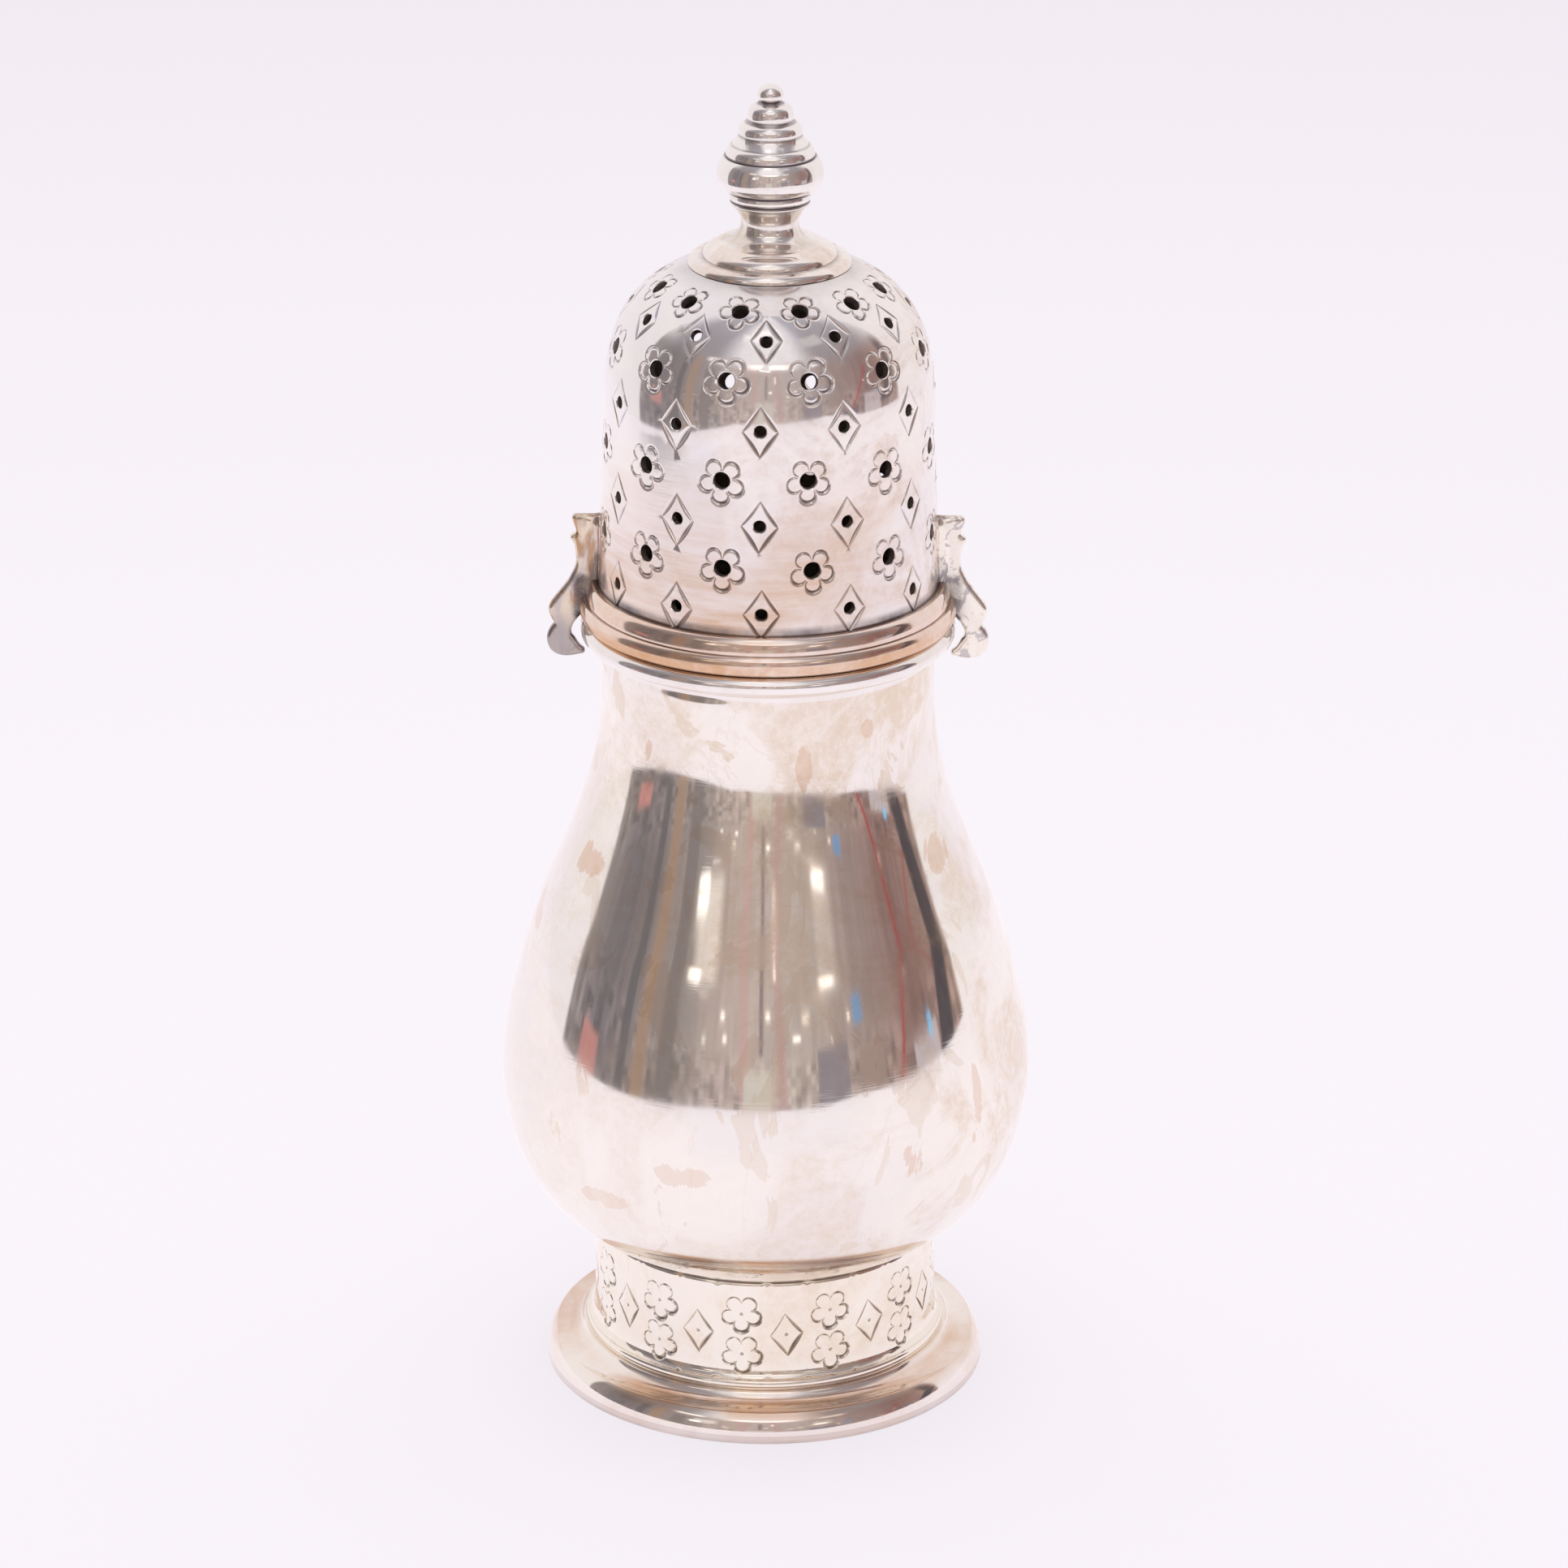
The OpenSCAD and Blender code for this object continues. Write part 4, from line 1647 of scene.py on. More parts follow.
@dataclass(frozen=True)
class Foot:
    """Edge wire, flange and engraved collar."""

    sizes: FrameSizes
    collar_r: float = 25.9 * MM
    collar_wall: float = 1.0 * MM
    bead: float = 1.4 * MM
    bead_h: float = 1.5 * MM
    bead_round: float = 0.4 * MM
    flare_h: float = 2.0 * MM
    seat_slope: float = 0.56
    lip_r: float = 5.6 * MM
    lip_from: float = 6
    lip_to: float = 42
    flange_wall: float = 1.1 * MM
    columns: int = 12
    first_column: float = math.radians(-7.4)
    flower_share: float = 0.545
    flower_up: float = 17.8 * MM
    flower_down: float = 11.3 * MM
    diamond_at: float = 14.5 * MM
    variants: int = 4

    def build(self, silver: Material, warm: Material, worn: Material) -> None:
        """Builds and dresses the foot's pieces.

        Args:
            silver: Finish of the collar.
            warm: Finish of the flange.
            worn: Finish of the edge wire.
        """
        hand_over(dress(self.edge_wire(), worn), "foot_edge", Body.VESSEL)
        hand_over(dress(self.flange(), warm), "foot_flange", Body.VESSEL)
        hand_over(self.collar(silver), "foot_collar", Body.VESSEL)

    def edge_wire(self) -> Piece:
        """The upright wire that the caster stands on, worn round at its lower edge.

        Returns:
            The object.
        """
        s, soft = self.sizes, 0.25 * MM
        inner = s.foot_r - s.edge_w
        outline = chain(
            [(inner, 0), (s.foot_r - soft, 0)],
            arc((s.foot_r - soft, soft), soft, soft, -90, 0, 6),
            [(s.foot_r, s.edge_h), (inner, s.edge_h)],
        )
        return turned("edge_wire", outline)

    def flange(self) -> Piece:
        """The spun foot: a broad rounded lip, a hollow and the seat of the collar.

        Returns:
            The object.
        """
        s = self.sizes
        lip = rolled(s.foot_r, s.edge_h, self.lip_r, self.lip_from, self.lip_to, 18)
        top_r, top_z = lip[-1]
        seat_r = self.collar_r + self.bead + self.bead_round
        inner_r = self.collar_r - self.collar_wall
        outline = chain(
            lip,
            bezier((top_r - 0.1 * MM, top_z - 0.02 * MM), (top_r - 1.3 * MM, top_z - 0.35 * MM),
                   (seat_r + 0.6 * MM, s.collar_z - 1.3 * MM), (seat_r, s.collar_z), 22),
            [(inner_r, s.collar_z), (inner_r, s.collar_z - self.flange_wall)],
            [(seat_r - self.flange_wall, s.collar_z - self.flange_wall)],
            [(top_r - 1.2 * MM, top_z - self.flange_wall), (s.foot_r - s.edge_w, s.edge_h)],
        )
        return turned("flange", outline)

    def collar(self, material: Material) -> Piece:
        """The upright band with its flowers and diamonds.

        Args:
            material: Its finish.

        Returns:
            The object.
        """
        s = self.sizes
        bead_r = self.collar_r + self.bead
        flare_z = s.collar_z + self.bead_h
        flare_r = bead_r - self.bead_round
        inner_r = self.collar_r - self.collar_wall
        inner_z = s.seat_z - self.collar_wall * self.seat_slope
        wall = Wall(chain(
            arc((flare_r, flare_z + self.flare_h), flare_r - self.collar_r, self.flare_h, -90, -180, 20),
            [(self.collar_r, s.seat_z)],
        ))
        rest = chain(
            [(self.collar_r, s.seat_z), (inner_r, inner_z), (inner_r, s.collar_z),
             (bead_r - 0.3 * MM, s.collar_z)],
            arc((flare_r, s.collar_z + self.bead_h / 2), self.bead_round, self.bead_h / 2, -80, 80, 10),
            [(flare_r, flare_z)],
        )
        pitch = FULL_TURN / self.columns
        half = pitch / 2 * self.flower_share
        pairs = [(Figure.FLOWER, self.flower_up), (Figure.FLOWER, self.flower_down)]
        flowers = self._cells(wall, "flower", half, pairs)
        diamonds = self._cells(wall, "diamond", pitch / 2 - half, [(Figure.DIAMOND, self.diamond_at)])
        rows = [
            Row(flowers, self.columns, self.first_column),
            Row(diamonds, self.columns, self.first_column + pitch / 2),
            Row([self._rest_of_collar(wall, rest, half)], 1, self.first_column),
        ]
        return EngravedWall("collar", rows, seed=11).build(material)

    def _cells(self, wall: Wall, label: str, half: float, figures: Sequence[tuple[Figure, float]]) -> list:
        """Tiles of one kind of column, each cut a little differently.

        Args:
            wall: The collar's upright wall.
            label: Name of the kind.
            half: Half of the angle that a tile spans.
            figures: What is cut into it and at which heights.

        Returns:
            The tiles' objects.
        """
        border = box_border(half, 6, 0.0, wall.length, 12)
        middle = wall.length / 2
        tiles = []
        for number in range(self.variants):
            chance = Random(100 * number + len(label))
            motifs = []
            for figure, height in figures:
                motif = Motif(
                    figure, dot=0.28, y=(wall.along(height) - middle) / MM, petal_tip=3.1, petal_half=1.22,
                    diamond_half_w=2.5, diamond_half_h=3.55, reach=0.55, cut_half=0.21, press=0.45,
                )
                motifs.append(replace(motif.varied(chance), x=chance.uniform(-0.06, 0.06)))
            tile = Tile(wall, border, middle, motifs, seed=number)
            tile.outer()
            tiles.append(tile.object(f"collar_{label}_{number}"))
        return tiles

    def _rest_of_collar(self, wall: Wall, rest: Array, half: float) -> Piece:
        """What is plain of the collar, all the way round: seat, inside and bead.

        Args:
            wall: The collar's upright wall.
            rest: Outline of the plain part, from the seat inwards, down and out to the bead.
            half: Half of the angle that a tile of flowers spans.

        Returns:
            The plain part as one tile, whose edges fit the engraved tiles.
        """
        tile = Tile(wall, box_border(math.pi, 144, 0.0, wall.length, 1), 0.0, [], seed=0)
        pitch = FULL_TURN / self.columns
        steps = np.concatenate([np.linspace(-half, half, 7)[:-1], np.linspace(half, pitch - half, 7)[:-1]])
        angles = np.concatenate([steps + i * pitch for i in range(self.columns)] + [[FULL_TURN - half]])
        bead = (self.collar_r + self.bead - self.bead_round, self.sizes.collar_z + self.bead_h / 2)
        loops = []
        for r, z in rest:
            lean, rise = (r - bead[0]) / self.bead_round ** 2, (z - bead[1]) / (self.bead_h / 2) ** 2
            size = math.hypot(lean, rise)
            loops.append(tile.row(angles, r, z, lean / size, rise / size))
        tile.strip(loops[:5])
        tile.strip(loops[4:-1], FaceKind.SKIN)
        tile.strip(loops[-2:])
        return tile.object("collar_rest")


def box_border(half: float, across: int, low: float, high: float, up: int) -> Array:
    """Border of a tile with upright sides.

    Args:
        half: Half of the angle that it spans.
        across: Stretches along its lower and upper edge.
        low: Place of its lower edge along the wall.
        high: Place of its upper edge along the wall.
        up: Stretches along its sides.

    Returns:
        Angle and place of each point, anticlockwise from the lower left corner.
    """
    legs = [(half, low, across), (half, high, up), (-half, high, across), (-half, low, up)]
    return walked((-half, low), legs)


@dataclass(frozen=True)
class Vessel:
    """The pear-shaped body and its rim ring."""

    sizes: FrameSizes
    collar_r: float = 25.9 * MM
    collar_wall: float = 1.0 * MM
    seat_slope: float = 0.56
    belly_z: float = 49.5 * MM
    shoulder_r: float = 33.15 * MM
    shoulder_z: float = 77.0 * MM
    shoulder_lean: float = 0.43
    neck_r: float = 24.65 * MM
    neck_z: float = 110.0 * MM
    wall: float = 0.8 * MM
    rim_h: float = 3.2 * MM
    rim_round: float = 1.8 * MM
    notch_half: float = 1.4 * MM
    notch_depth: float = 1.4 * MM
    ridge_z: float = 113.9 * MM
    ridge_h: float = 0.24 * MM
    ridge_half: float = 1.0 * MM
    ridge_azimuth: float = -24
    ridge_spread: float = 17
    LEAST_FACE = 1e-12

    def build(self, silver: Material, ring: Material) -> None:
        """Builds and dresses the vessel's pieces."""
        hand_over(dress(self.shell(), silver), "body_shell", Body.VESSEL)
        hand_over(dress(self.rim(), ring), "rim_ring", Body.VESSEL)

    def outline(self) -> Array:
        """The outer outline from the middle of the bottom to the mouth.

        Returns:
            Radius and height of each point.
        """
        s, slope, lean = self.sizes, self.seat_slope, self.shoulder_lean
        edge_r = self.collar_r - self.collar_wall
        edge_z = s.seat_z - self.collar_wall * slope
        fall = edge_r * 0.3
        return chain(
            bezier(
                (0, s.bowl_z), (edge_r * 0.4, s.bowl_z),
                (edge_r * 0.7, edge_z - fall * slope), (edge_r, edge_z),
            ),
            bezier(
                (self.collar_r, s.seat_z), (self.collar_r + 8.5 * MM, s.seat_z + 8.5 * MM * slope),
                (s.belly_r, self.belly_z - 14.3 * MM), (s.belly_r, self.belly_z), 40,
            ),
            bezier(
                (s.belly_r, self.belly_z), (s.belly_r, self.belly_z + 8 * MM),
                (self.shoulder_r + 4 * MM * lean, self.shoulder_z - 4 * MM),
                (self.shoulder_r, self.shoulder_z),
            ),
            bezier(
                (self.shoulder_r, self.shoulder_z),
                (self.shoulder_r - 18 * MM * lean, self.shoulder_z + 18 * MM),
                (self.neck_r, self.neck_z - 8.8 * MM), (self.neck_r, self.neck_z), 36,
            ),
            [(self.neck_r, z) for z in np.linspace(self.neck_z, s.mouth_z, 31)],
        )

    def shell(self) -> Piece:
        """The raised shell, a wall of even thickness.

        Returns:
            The object.
        """
        s = self.sizes
        outer = self.outline()
        inner = beside(outer, self.wall)
        inner[0] = (0, s.bowl_z + self.wall)
        outline = chain(outer, inner[::-1])
        piece = turned("body", outline, [(self.collar_r, s.seat_z)], segments=256, skin=len(outer))
        self.raise_ridge(piece.data)
        return piece

    def raise_ridge(self, mesh: bpy.types.Mesh) -> None:
        """Raises the shallow ridge that a knock from inside has left under the rim.

        Args:
            mesh: Mesh of the shell.
        """
        place = read_values(mesh.vertices, "co", 3)
        x, y, z = place.T
        turn = np.degrees(np.arctan2(x, -y)) - self.ridge_azimuth
        up, side = (z - self.ridge_z) / self.ridge_half, turn / self.ridge_spread
        lift = self.ridge_h * np.exp(-up ** 2 - side ** 2)
        lift = lift * np.clip((self.sizes.mouth_z - z) / (4 * MM), 0, 1)
        place[:, :2] *= (1 + lift / np.maximum(np.hypot(x, y), MM))[:, None]
        mesh.vertices.foreach_set("co", place.ravel())
        mesh.update()

    def rim(self) -> Piece:
        """The half-round ring at the mouth, notched on both sides for the hooks.

        Returns:
            The object.
        """
        s = self.sizes
        root_r, middle_z = s.rim_r - self.rim_round, s.mouth_z - self.rim_h / 2
        section = chain(
            [(self.neck_r, s.mouth_z)],
            arc((root_r, middle_z), self.rim_round, self.rim_h / 2, 90, -90, 24),
            arc((root_r, middle_z - self.rim_h), root_r - self.neck_r, self.rim_h / 2, 90, 180, 10),
        )
        cut = section.copy()
        cut[:, 0] = np.minimum(cut[:, 0], s.rim_r - self.notch_depth)
        half = math.asin(self.notch_half / s.rim_r)
        dark = hollow_oxide_and_shade(section, [], 0.2 * MM, 0.3)
        rings, points, oxide = [], [], []
        for angle, shape, value in self._stations(half, section, cut):
            rings.append(len(points) + np.arange(len(shape)))
            way = around(np.array(angle))
            points += [(r * way[0], r * way[1], z) for r, z in shape]
            # Painted shade in the notches, over the oxide and painted shade of the section's corners.
            oxide += np.maximum(dark, value).tolist()
        place, faces = np.array(points), []
        for face in stitched(rings):
            a, b, c, d = place[list(face)]
            if np.linalg.norm(np.cross(c - a, d - b)) > self.LEAST_FACE:
                faces.append(face)
        return make_object("rim", place, faces, np.array(oxide), sharp=50)

    @staticmethod
    def _stations(half: float, section: Array, cut: Array) -> list[tuple[float, Array, float]]:
        """Angles round the rim with the section at each and how dark it is; the notches are at a quarter
        turn and hold painted shade.

        Args:
            half: Half of the angle of a notch.
            section: The full section.
            cut: The section in a notch.

        Returns:
            Angle, section and darkness of each.
        """
        made = []
        for quarter in (math.pi / 2, 3 * math.pi / 2):
            # The notches are darkened with painted shade, their edges less.
            made += [(quarter - half, section, 0.3), (quarter - half, cut, 0.8), (quarter, cut, 0.8)]
            made += [(quarter + half, cut, 0.8), (quarter + half, section, 0.3)]
            for angle in np.linspace(quarter + half, quarter + math.pi - half, 97)[1:-1]:
                made.append((float(angle), section, 0.0))
        return made


@dataclass(frozen=True)
class Cover:
    """The pierced dome with its ring and its sleeve."""

    sizes: FrameSizes
    taper: float = 0.8 * MM
    crown_z: float = 153.0 * MM
    wall: float = 1.1 * MM
    bore_r: float = 1.6 * MM
    motifs: int = 12
    first_row: float = 3.2 * MM
    row_step: float = 6.6 * MM
    side_rows: int = 4
    crown_rows: tuple[float, ...] = (0.08, 0.34, 0.59, 0.8)
    row_turns: tuple[float, ...] = (-1.9, -0.6, -2.6, -1.7, -3.0, -0.4, -1.5, -0.3)
    flower_hole: float = 1.25
    diamond_hole: float = 0.9
    top_row_size: float = 0.88
    variants: int = 4
    waist: float = 0.8 * MM
    round_share: float = 0.54
    sleeve_wall: float = 0.7 * MM

    def build(self, silver: Material, warm: Material, plain: Material) -> None:
        """Builds and dresses the dome, the ring and the sleeve.

        Args:
            silver: Finish of the dome.
            warm: Finish of the ring.
            plain: Finish of the sleeve.
        """
        hand_over(self.dome(silver), "cover_dome", Body.COVER)
        hand_over(dress(self.ring(), warm), "cover_ring", Body.COVER)
        hand_over(dress(self.sleeve(), plain), "cover_sleeve", Body.SLEEVE)

    def crown(self) -> Array:
        """The crown's curve, from the dome's side to the finial's plate.

        Returns:
            Radius and height of each point.
        """
        s = self.sizes
        top_r, height = s.dome_r - self.taper, s.plate_z - self.crown_z
        return bezier(
            (top_r, self.crown_z), (top_r, self.crown_z + 0.54 * height),
            (0.85 * top_r, s.plate_z - 0.16 * height), (s.plate_r, s.plate_z), 100,
        )

    def dome(self, material: Material) -> Piece:
        """The dome's wall with all its rows of pierced flowers and diamonds.

        Args:
            material: Its finish.

        Returns:
            The object.
        """
        s = self.sizes
        crown = self.crown()
        wall = Wall(chain([(s.dome_r, s.cover_z), (s.dome_r, s.ring_top_z)], crown))
        heights = [s.ring_top_z + self.first_row + i * self.row_step for i in range(self.side_rows)]
        heights += [float(crown[round(t * 100)][1]) for t in self.crown_rows]
        places = [wall.along(height) for height in heights]
        rows = [self._row(wall, places, number) for number in range(len(places))]
        return EngravedWall("dome", rows, seed=3).build(material)

    def _row(self, wall: Wall, places: Sequence[float], number: int) -> Row:
        """One row of tiles.

        Args:
            wall: The dome's wall.
            places: Place of every row along the wall.
            number: Which row to make.

        Returns:
            The row, its tiles varied as a hand would cut them.
        """
        diamonds = number % 2 == 0
        half = math.pi / self.motifs
        border = self._border(places, number, half, wall.length)
        motif = Motif(
            Figure.DIAMOND if diamonds else Figure.FLOWER,
            hole=self.diamond_hole if diamonds else self.flower_hole,
            x=math.radians(self.row_turns[number]) * float(wall.radius(places[number])) / MM,
            size=self.top_row_size if number >= len(places) - 2 else 1.0,
        )
        tiles = []
        for variant in range(self.variants):
            chance = Random(50 * number + variant)
            cut = motif.varied(chance)
            if diamonds:
                cut = replace(cut, x=(cut.x + motif.x) / 2, tilt=cut.tilt / 2)
            tiles.append(self._tile(wall, places, number, border, [cut], variant))
        start = 0.0 if diamonds else half
        if number > 0:
            return Row(tiles, self.motifs, start)
        tiles.append(self._tile(wall, places, number, border, [], self.variants))
        return Row(tiles, self.motifs, start, plain_step=self.motifs // 2, plain_first=self.motifs // 4)

    def _border(self, places: Sequence[float], number: int, half: float, top: float) -> Array:
        """Border of a tile: a rhombus between its neighbours, straight-edged in the first and last row.

        Args:
            places: Place of every row along the wall.
            number: Which row.
            half: Half of a tile's angle.
            top: Length of the wall.

        Returns:
            Angle and place of each point.
        """
        here = places[number]
        steps = 8
        if number == 0:
            lower = [(-half, 0.0, 4), (half, 0.0, 12), (half, here, 4)]
        else:
            lower = [(0.0, places[number - 1], steps), (half, here, steps)]
        if number == len(places) - 1:
            upper = [(half, top, 4), (-half, top, 12), (-half, here, 4)]
        else:
            upper = [(0.0, places[number + 1], steps), (-half, here, steps)]
        return walked((-half, here), lower + upper)

    def _tile(self, wall: Wall, places: Sequence[float], number: int, border: Array,
              motifs: Sequence[Motif], variant: int) -> Piece:
        """One tile with both faces of the wall, its holes and, at the dome's ends, its edges.

        Args:
            wall: The dome's wall.
            places: Place of every row along it.
            number: Which row.
            border: The tile's border.
            motifs: What is cut into it.
            variant: Which of the row's tiles.

        Returns:
            The tile's object.
        """
        s = self.sizes
        tile = Tile(wall, border, places[number], motifs, seed=31 * number + variant)
        rings, rim = tile.outer()
        inner_rings, inner_rim = tile.inner(self.wall)
        for upper, lower in zip(rings, inner_rings):
            tile.through(upper, lower)
        if number == 0:
            edge = np.where(border[:, 1] < 1e-9)[0]
            tile.strip([inner_rim[edge], rim[edge]])
        if number == len(places) - 1:
            edge = np.where(border[:, 1] > wall.length - 1e-9)[0][::-1]
            angles = border[edge, 0]
            bore = [tile.row(angles, self.bore_r, z) for z in (s.plate_z, s.plate_z - self.wall)]
            tile.strip([rim[edge], *bore, inner_rim[edge]])
        return tile.object(f"dome_{number}_{variant}")

    def ring(self) -> Piece:
        """The stepped moulding round the dome's foot.

        Returns:
            The object.
        """
        s = self.sizes
        round_h = (s.ring_top_z - s.cover_z) * self.round_share
        waist_r = s.ring_r - self.waist
        outline = chain(
            [(s.dome_r, s.cover_z)],
            arc((waist_r, s.cover_z + round_h / 2), self.waist, round_h / 2, -90, 90, 24),
            arc((s.dome_r + 0.6 * MM, s.cover_z + round_h), waist_r - s.dome_r - 0.8 * MM,
                s.ring_top_z - s.cover_z - round_h, 0, 90, 16),
            [(s.dome_r, s.ring_top_z)],
        )
        return turned("ring", outline, [(s.dome_r, s.ring_top_z)], segments=224)

    def sleeve(self) -> Piece:
        """The plain sleeve that plugs into the neck, with softened edges.

        Returns:
            The object.
        """
        low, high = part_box("cover_sleeve")
        outer, soft = high.x, 0.2 * MM
        inner = outer - self.sleeve_wall
        outline = chain(
            [(inner, low.z)],
            arc((outer - soft, low.z + soft), soft, soft, -90, 0, 5),
            arc((outer - soft, high.z - soft), soft, soft, 0, 90, 5),
            [(inner, high.z)],
        )
        return turned("sleeve", outline)


@dataclass(frozen=True)
class Lug:
    """A scrolled plate soldered to the dome's side, with a hook below.

    Its outline is given outwards and upwards from the cover ring's lower outer edge, in millimetres.
    """

    sizes: FrameSizes
    half_t: float = 0.8 * MM
    edge_round: float = 0.8 * MM
    edge_share: float = 0.08
    edge_steps: tuple = (0.03, 0.1, 0.22, 0.4, 0.65, 1.0)
    fill: float = 0.3 * MM
    flute: float = 0.3
    flute_at: float = 2.1 * MM
    flute_w: float = 0.8 * MM
    flute_h: float = 9 * MM
    grime_and_shade: float = 0.9
    grime_and_shade_w: float = 1.5 * MM
    top: float = 15.4
    scroll: tuple = (
        (-0.3, 15.4), (0.55, 15.35), (1.0, 14.95), (0.98, 14.4), (0.72, 13.7), (0.45, 13.0), (0.48, 12.5),
    )
    bead: tuple = (
        (0.48, 12.5), (0.85, 12.3), (1.2, 12.0), (1.22, 11.55), (0.95, 11.15), (0.72, 10.7),
    )
    shoulder: tuple = (
        (0.72, 10.7), (0.58, 10.0), (0.47, 9.0), (0.45, 8.2), (0.62, 7.3), (1.02, 6.4), (1.55, 5.35),
        (2.35, 4.2), (3.35, 2.9), (4.15, 1.8), (4.5, 0.95), (4.45, 0.15), (4.15, -0.75), (3.7, -1.5),
    )
    hook: tuple = (
        (3.7, -1.5), (4.15, -2.0), (4.6, -2.85), (4.83, -3.8), (4.7, -4.75), (4.25, -5.75), (3.3, -6.45),
        (2.1, -6.7), (0.9, -6.6), (0.0, -6.4), (-0.7, -6.2), (-0.72, -5.5), (0.0, -4.85), (0.65, -3.8),
        (1.1, -3.2), (1.12, -2.4), (0.7, -1.4), (-0.3, -0.1),
    )
    inset: float = 0.5 * MM
    solder_w: float = 1.3 * MM
    solder_h: float = 1.5 * MM

    def build(self, node: str, side: int, material: Material) -> None:
        """Builds and dresses one lug.

        Args:
            node: Node that it replaces.
            side: 1 for the lug at +X, -1 for the one at -X.
            material: Its finish.
        """
        points, faces, oxide = self.plate()
        more_points, more_faces = self.solder()
        faces += [tuple(i + len(points) for i in face) for face in more_faces]
        every = np.vstack([points, more_points])
        every[:, 0] *= side
        if side < 0:
            faces = [tuple(reversed(face)) for face in faces]
        up = more_points[:, 2] - self.sizes.ring_top_z
        # The solder fillet darkens towards the cover ring: painted shade with some oxide.
        dark = np.concatenate([oxide, self.grime_and_shade * (0.12 + 0.88 * np.exp(-(up / (3.4 * MM)) ** 2))])
        piece = make_object(node.replace("lug", "lug_plate"), every, faces, dark, sharp=60)
        hand_over(dress(piece, material), node, Body.COVER)

    def outline(self) -> Array:
        """The plate's outline, radius and height in metres, anticlockwise.

        Returns:
            The points.
        """
        s = self.sizes
        corner = np.array([s.ring_r, s.cover_z]) / MM
        inside_r = (s.dome_r - self.inset) / MM - corner[0]
        path = chain(
            [(inside_r, self.top)], spline(self.scroll, 3), spline(self.bead, 3),
            spline(self.shoulder, 4), spline(self.hook, 4), [(inside_r, 0.6)],
        )
        return ((path + corner) * MM)[::-1]

    def plate(self) -> tuple[Array, list, Array]:
        """The plate with rounded edges.

        Returns:
            Its points, its faces and the oxide at each point.
        """
        rim = self.outline()
        grid = np.stack(np.meshgrid(
            np.arange(rim[:, 0].min(), rim[:, 0].max(), self.fill),
            np.arange(rim[:, 1].min(), rim[:, 1].max(), self.fill)), -1).reshape(-1, 2)
        edges = [(i, (i + 1) % len(rim)) for i in range(len(rim))]
        loose = [grid[self._depth(grid, rim) > self.edge_round]]
        for step in self.edge_steps:
            ring = beside(rim, step * self.edge_round)
            loose.append(ring[self._depth(ring, rim) > 0.95 * step * self.edge_round])
        inner = np.vstack(loose)
        flat = [Vector(p / MM) for p in np.vstack([rim, inner[within(inner, rim)]])]
        made = delaunay_2d_cdt(flat, edges, [], 0, 1e-5, True)
        spots = np.array([p[:] for p in made[0]]) * MM
        middles = np.array([spots[list(face)].mean(0) for face in made[2]])
        kept = [face for face, inside in zip(made[2], within(middles, rim)) if inside]
        share = np.clip(self._depth(spots, rim) / self.edge_round, 0, 1)
        half = self.half_t * (self.edge_share + (1 - self.edge_share) * np.sqrt(1 - (1 - share) ** 2))
        s = self.sizes
        out, up = spots[:, 0] - s.dome_r, spots[:, 1] - s.cover_z
        hollow = np.exp(-((out - self.flute_at) / self.flute_w) ** 2)
        half *= 1 - self.flute * hollow * np.clip(up / self.flute_h - 0.6, 0, 1)
        front = np.stack([spots[:, 0], -half, spots[:, 1]], 1)
        back = np.stack([spots[:, 0], half, spots[:, 1]], 1)
        used = sorted({i for face in kept for i in face})
        number = {old: new for new, old in enumerate(used)}
        faces = [tuple(number[i] for i in face) for face in kept]
        faces += [tuple(number[i] + len(used) for i in reversed(face)) for face in kept]
        new = {old: i for i, olds in enumerate(made[3]) for old in olds}
        loop = [number[new[i]] for i in range(len(rim))]
        for a, b in zip(loop, loop[1:] + loop[:1]):
            faces.append((b, a, a + len(used), b + len(used)))
        # Painted shade with some oxide where the plate passes the cover ring.
        past_ring, above_ring = out - (s.ring_r - s.dome_r), up - (s.ring_top_z - s.cover_z)
        apart = np.hypot(np.maximum(past_ring, 0), np.maximum(np.maximum(above_ring, -up), 0))
        dark = self.grime_and_shade * np.exp(-(apart / self.grime_and_shade_w) ** 2)[used]
        return np.vstack([front[used], back[used]]), faces, np.concatenate([dark, dark])

    @staticmethod
    def _depth(spots: Array, rim: Array) -> Array:
        """Distance of points from a closed outline.

        Args:
            spots: The points.
            rim: The outline.

        Returns:
            One distance for each point.
        """
        way = np.roll(rim, -1, 0) - rim
        t = np.clip(((spots[:, None] - rim) * way).sum(-1) / (way * way).sum(-1), 0, 1)
        return np.linalg.norm(spots[:, None] - rim - t[..., None] * way, axis=-1).min(1)

    def solder(self) -> tuple[Array, list]:
        """The hollow fillet of solder between the plate and the dome.

        Returns:
            Its points and its faces.
        """
        s = self.sizes
        bottom, top = s.ring_top_z - 0.3 * MM, s.cover_z + (self.top - 0.2) * MM
        turn = np.linspace(0, math.pi / 2, 11)
        points, rings = [], []
        for height in np.linspace(bottom, top, 24):
            up = (height - bottom) / (top - bottom)
            swell = 0.82 + 0.18 * math.sin(9 * up) - 0.45 * max(0.0, (up - 0.9) / 0.1)
            root = s.dome_r - 0.35 * MM - up * 0.25 * MM
            half = self.half_t * 0.97 + self.solder_w * swell * (1 - np.sin(turn))
            out = root + 0.35 * MM + self.solder_h * swell * (1 - np.cos(turn))
            left = [(root, -half[0]), *((o, -h) for o, h in zip(out, half)), (out[-1], 0.4 * -self.half_t)]
            section = left + [(o, -t) for o, t in reversed(left)]
            rings.append(len(points) + np.arange(len(section)))
            points += [(o, t, height) for o, t in section]
        caps = [tuple(int(i) for i in cap) for cap in (rings[0][::-1], rings[-1])]
        return np.array(points), stitched(rings, closed=False) + caps


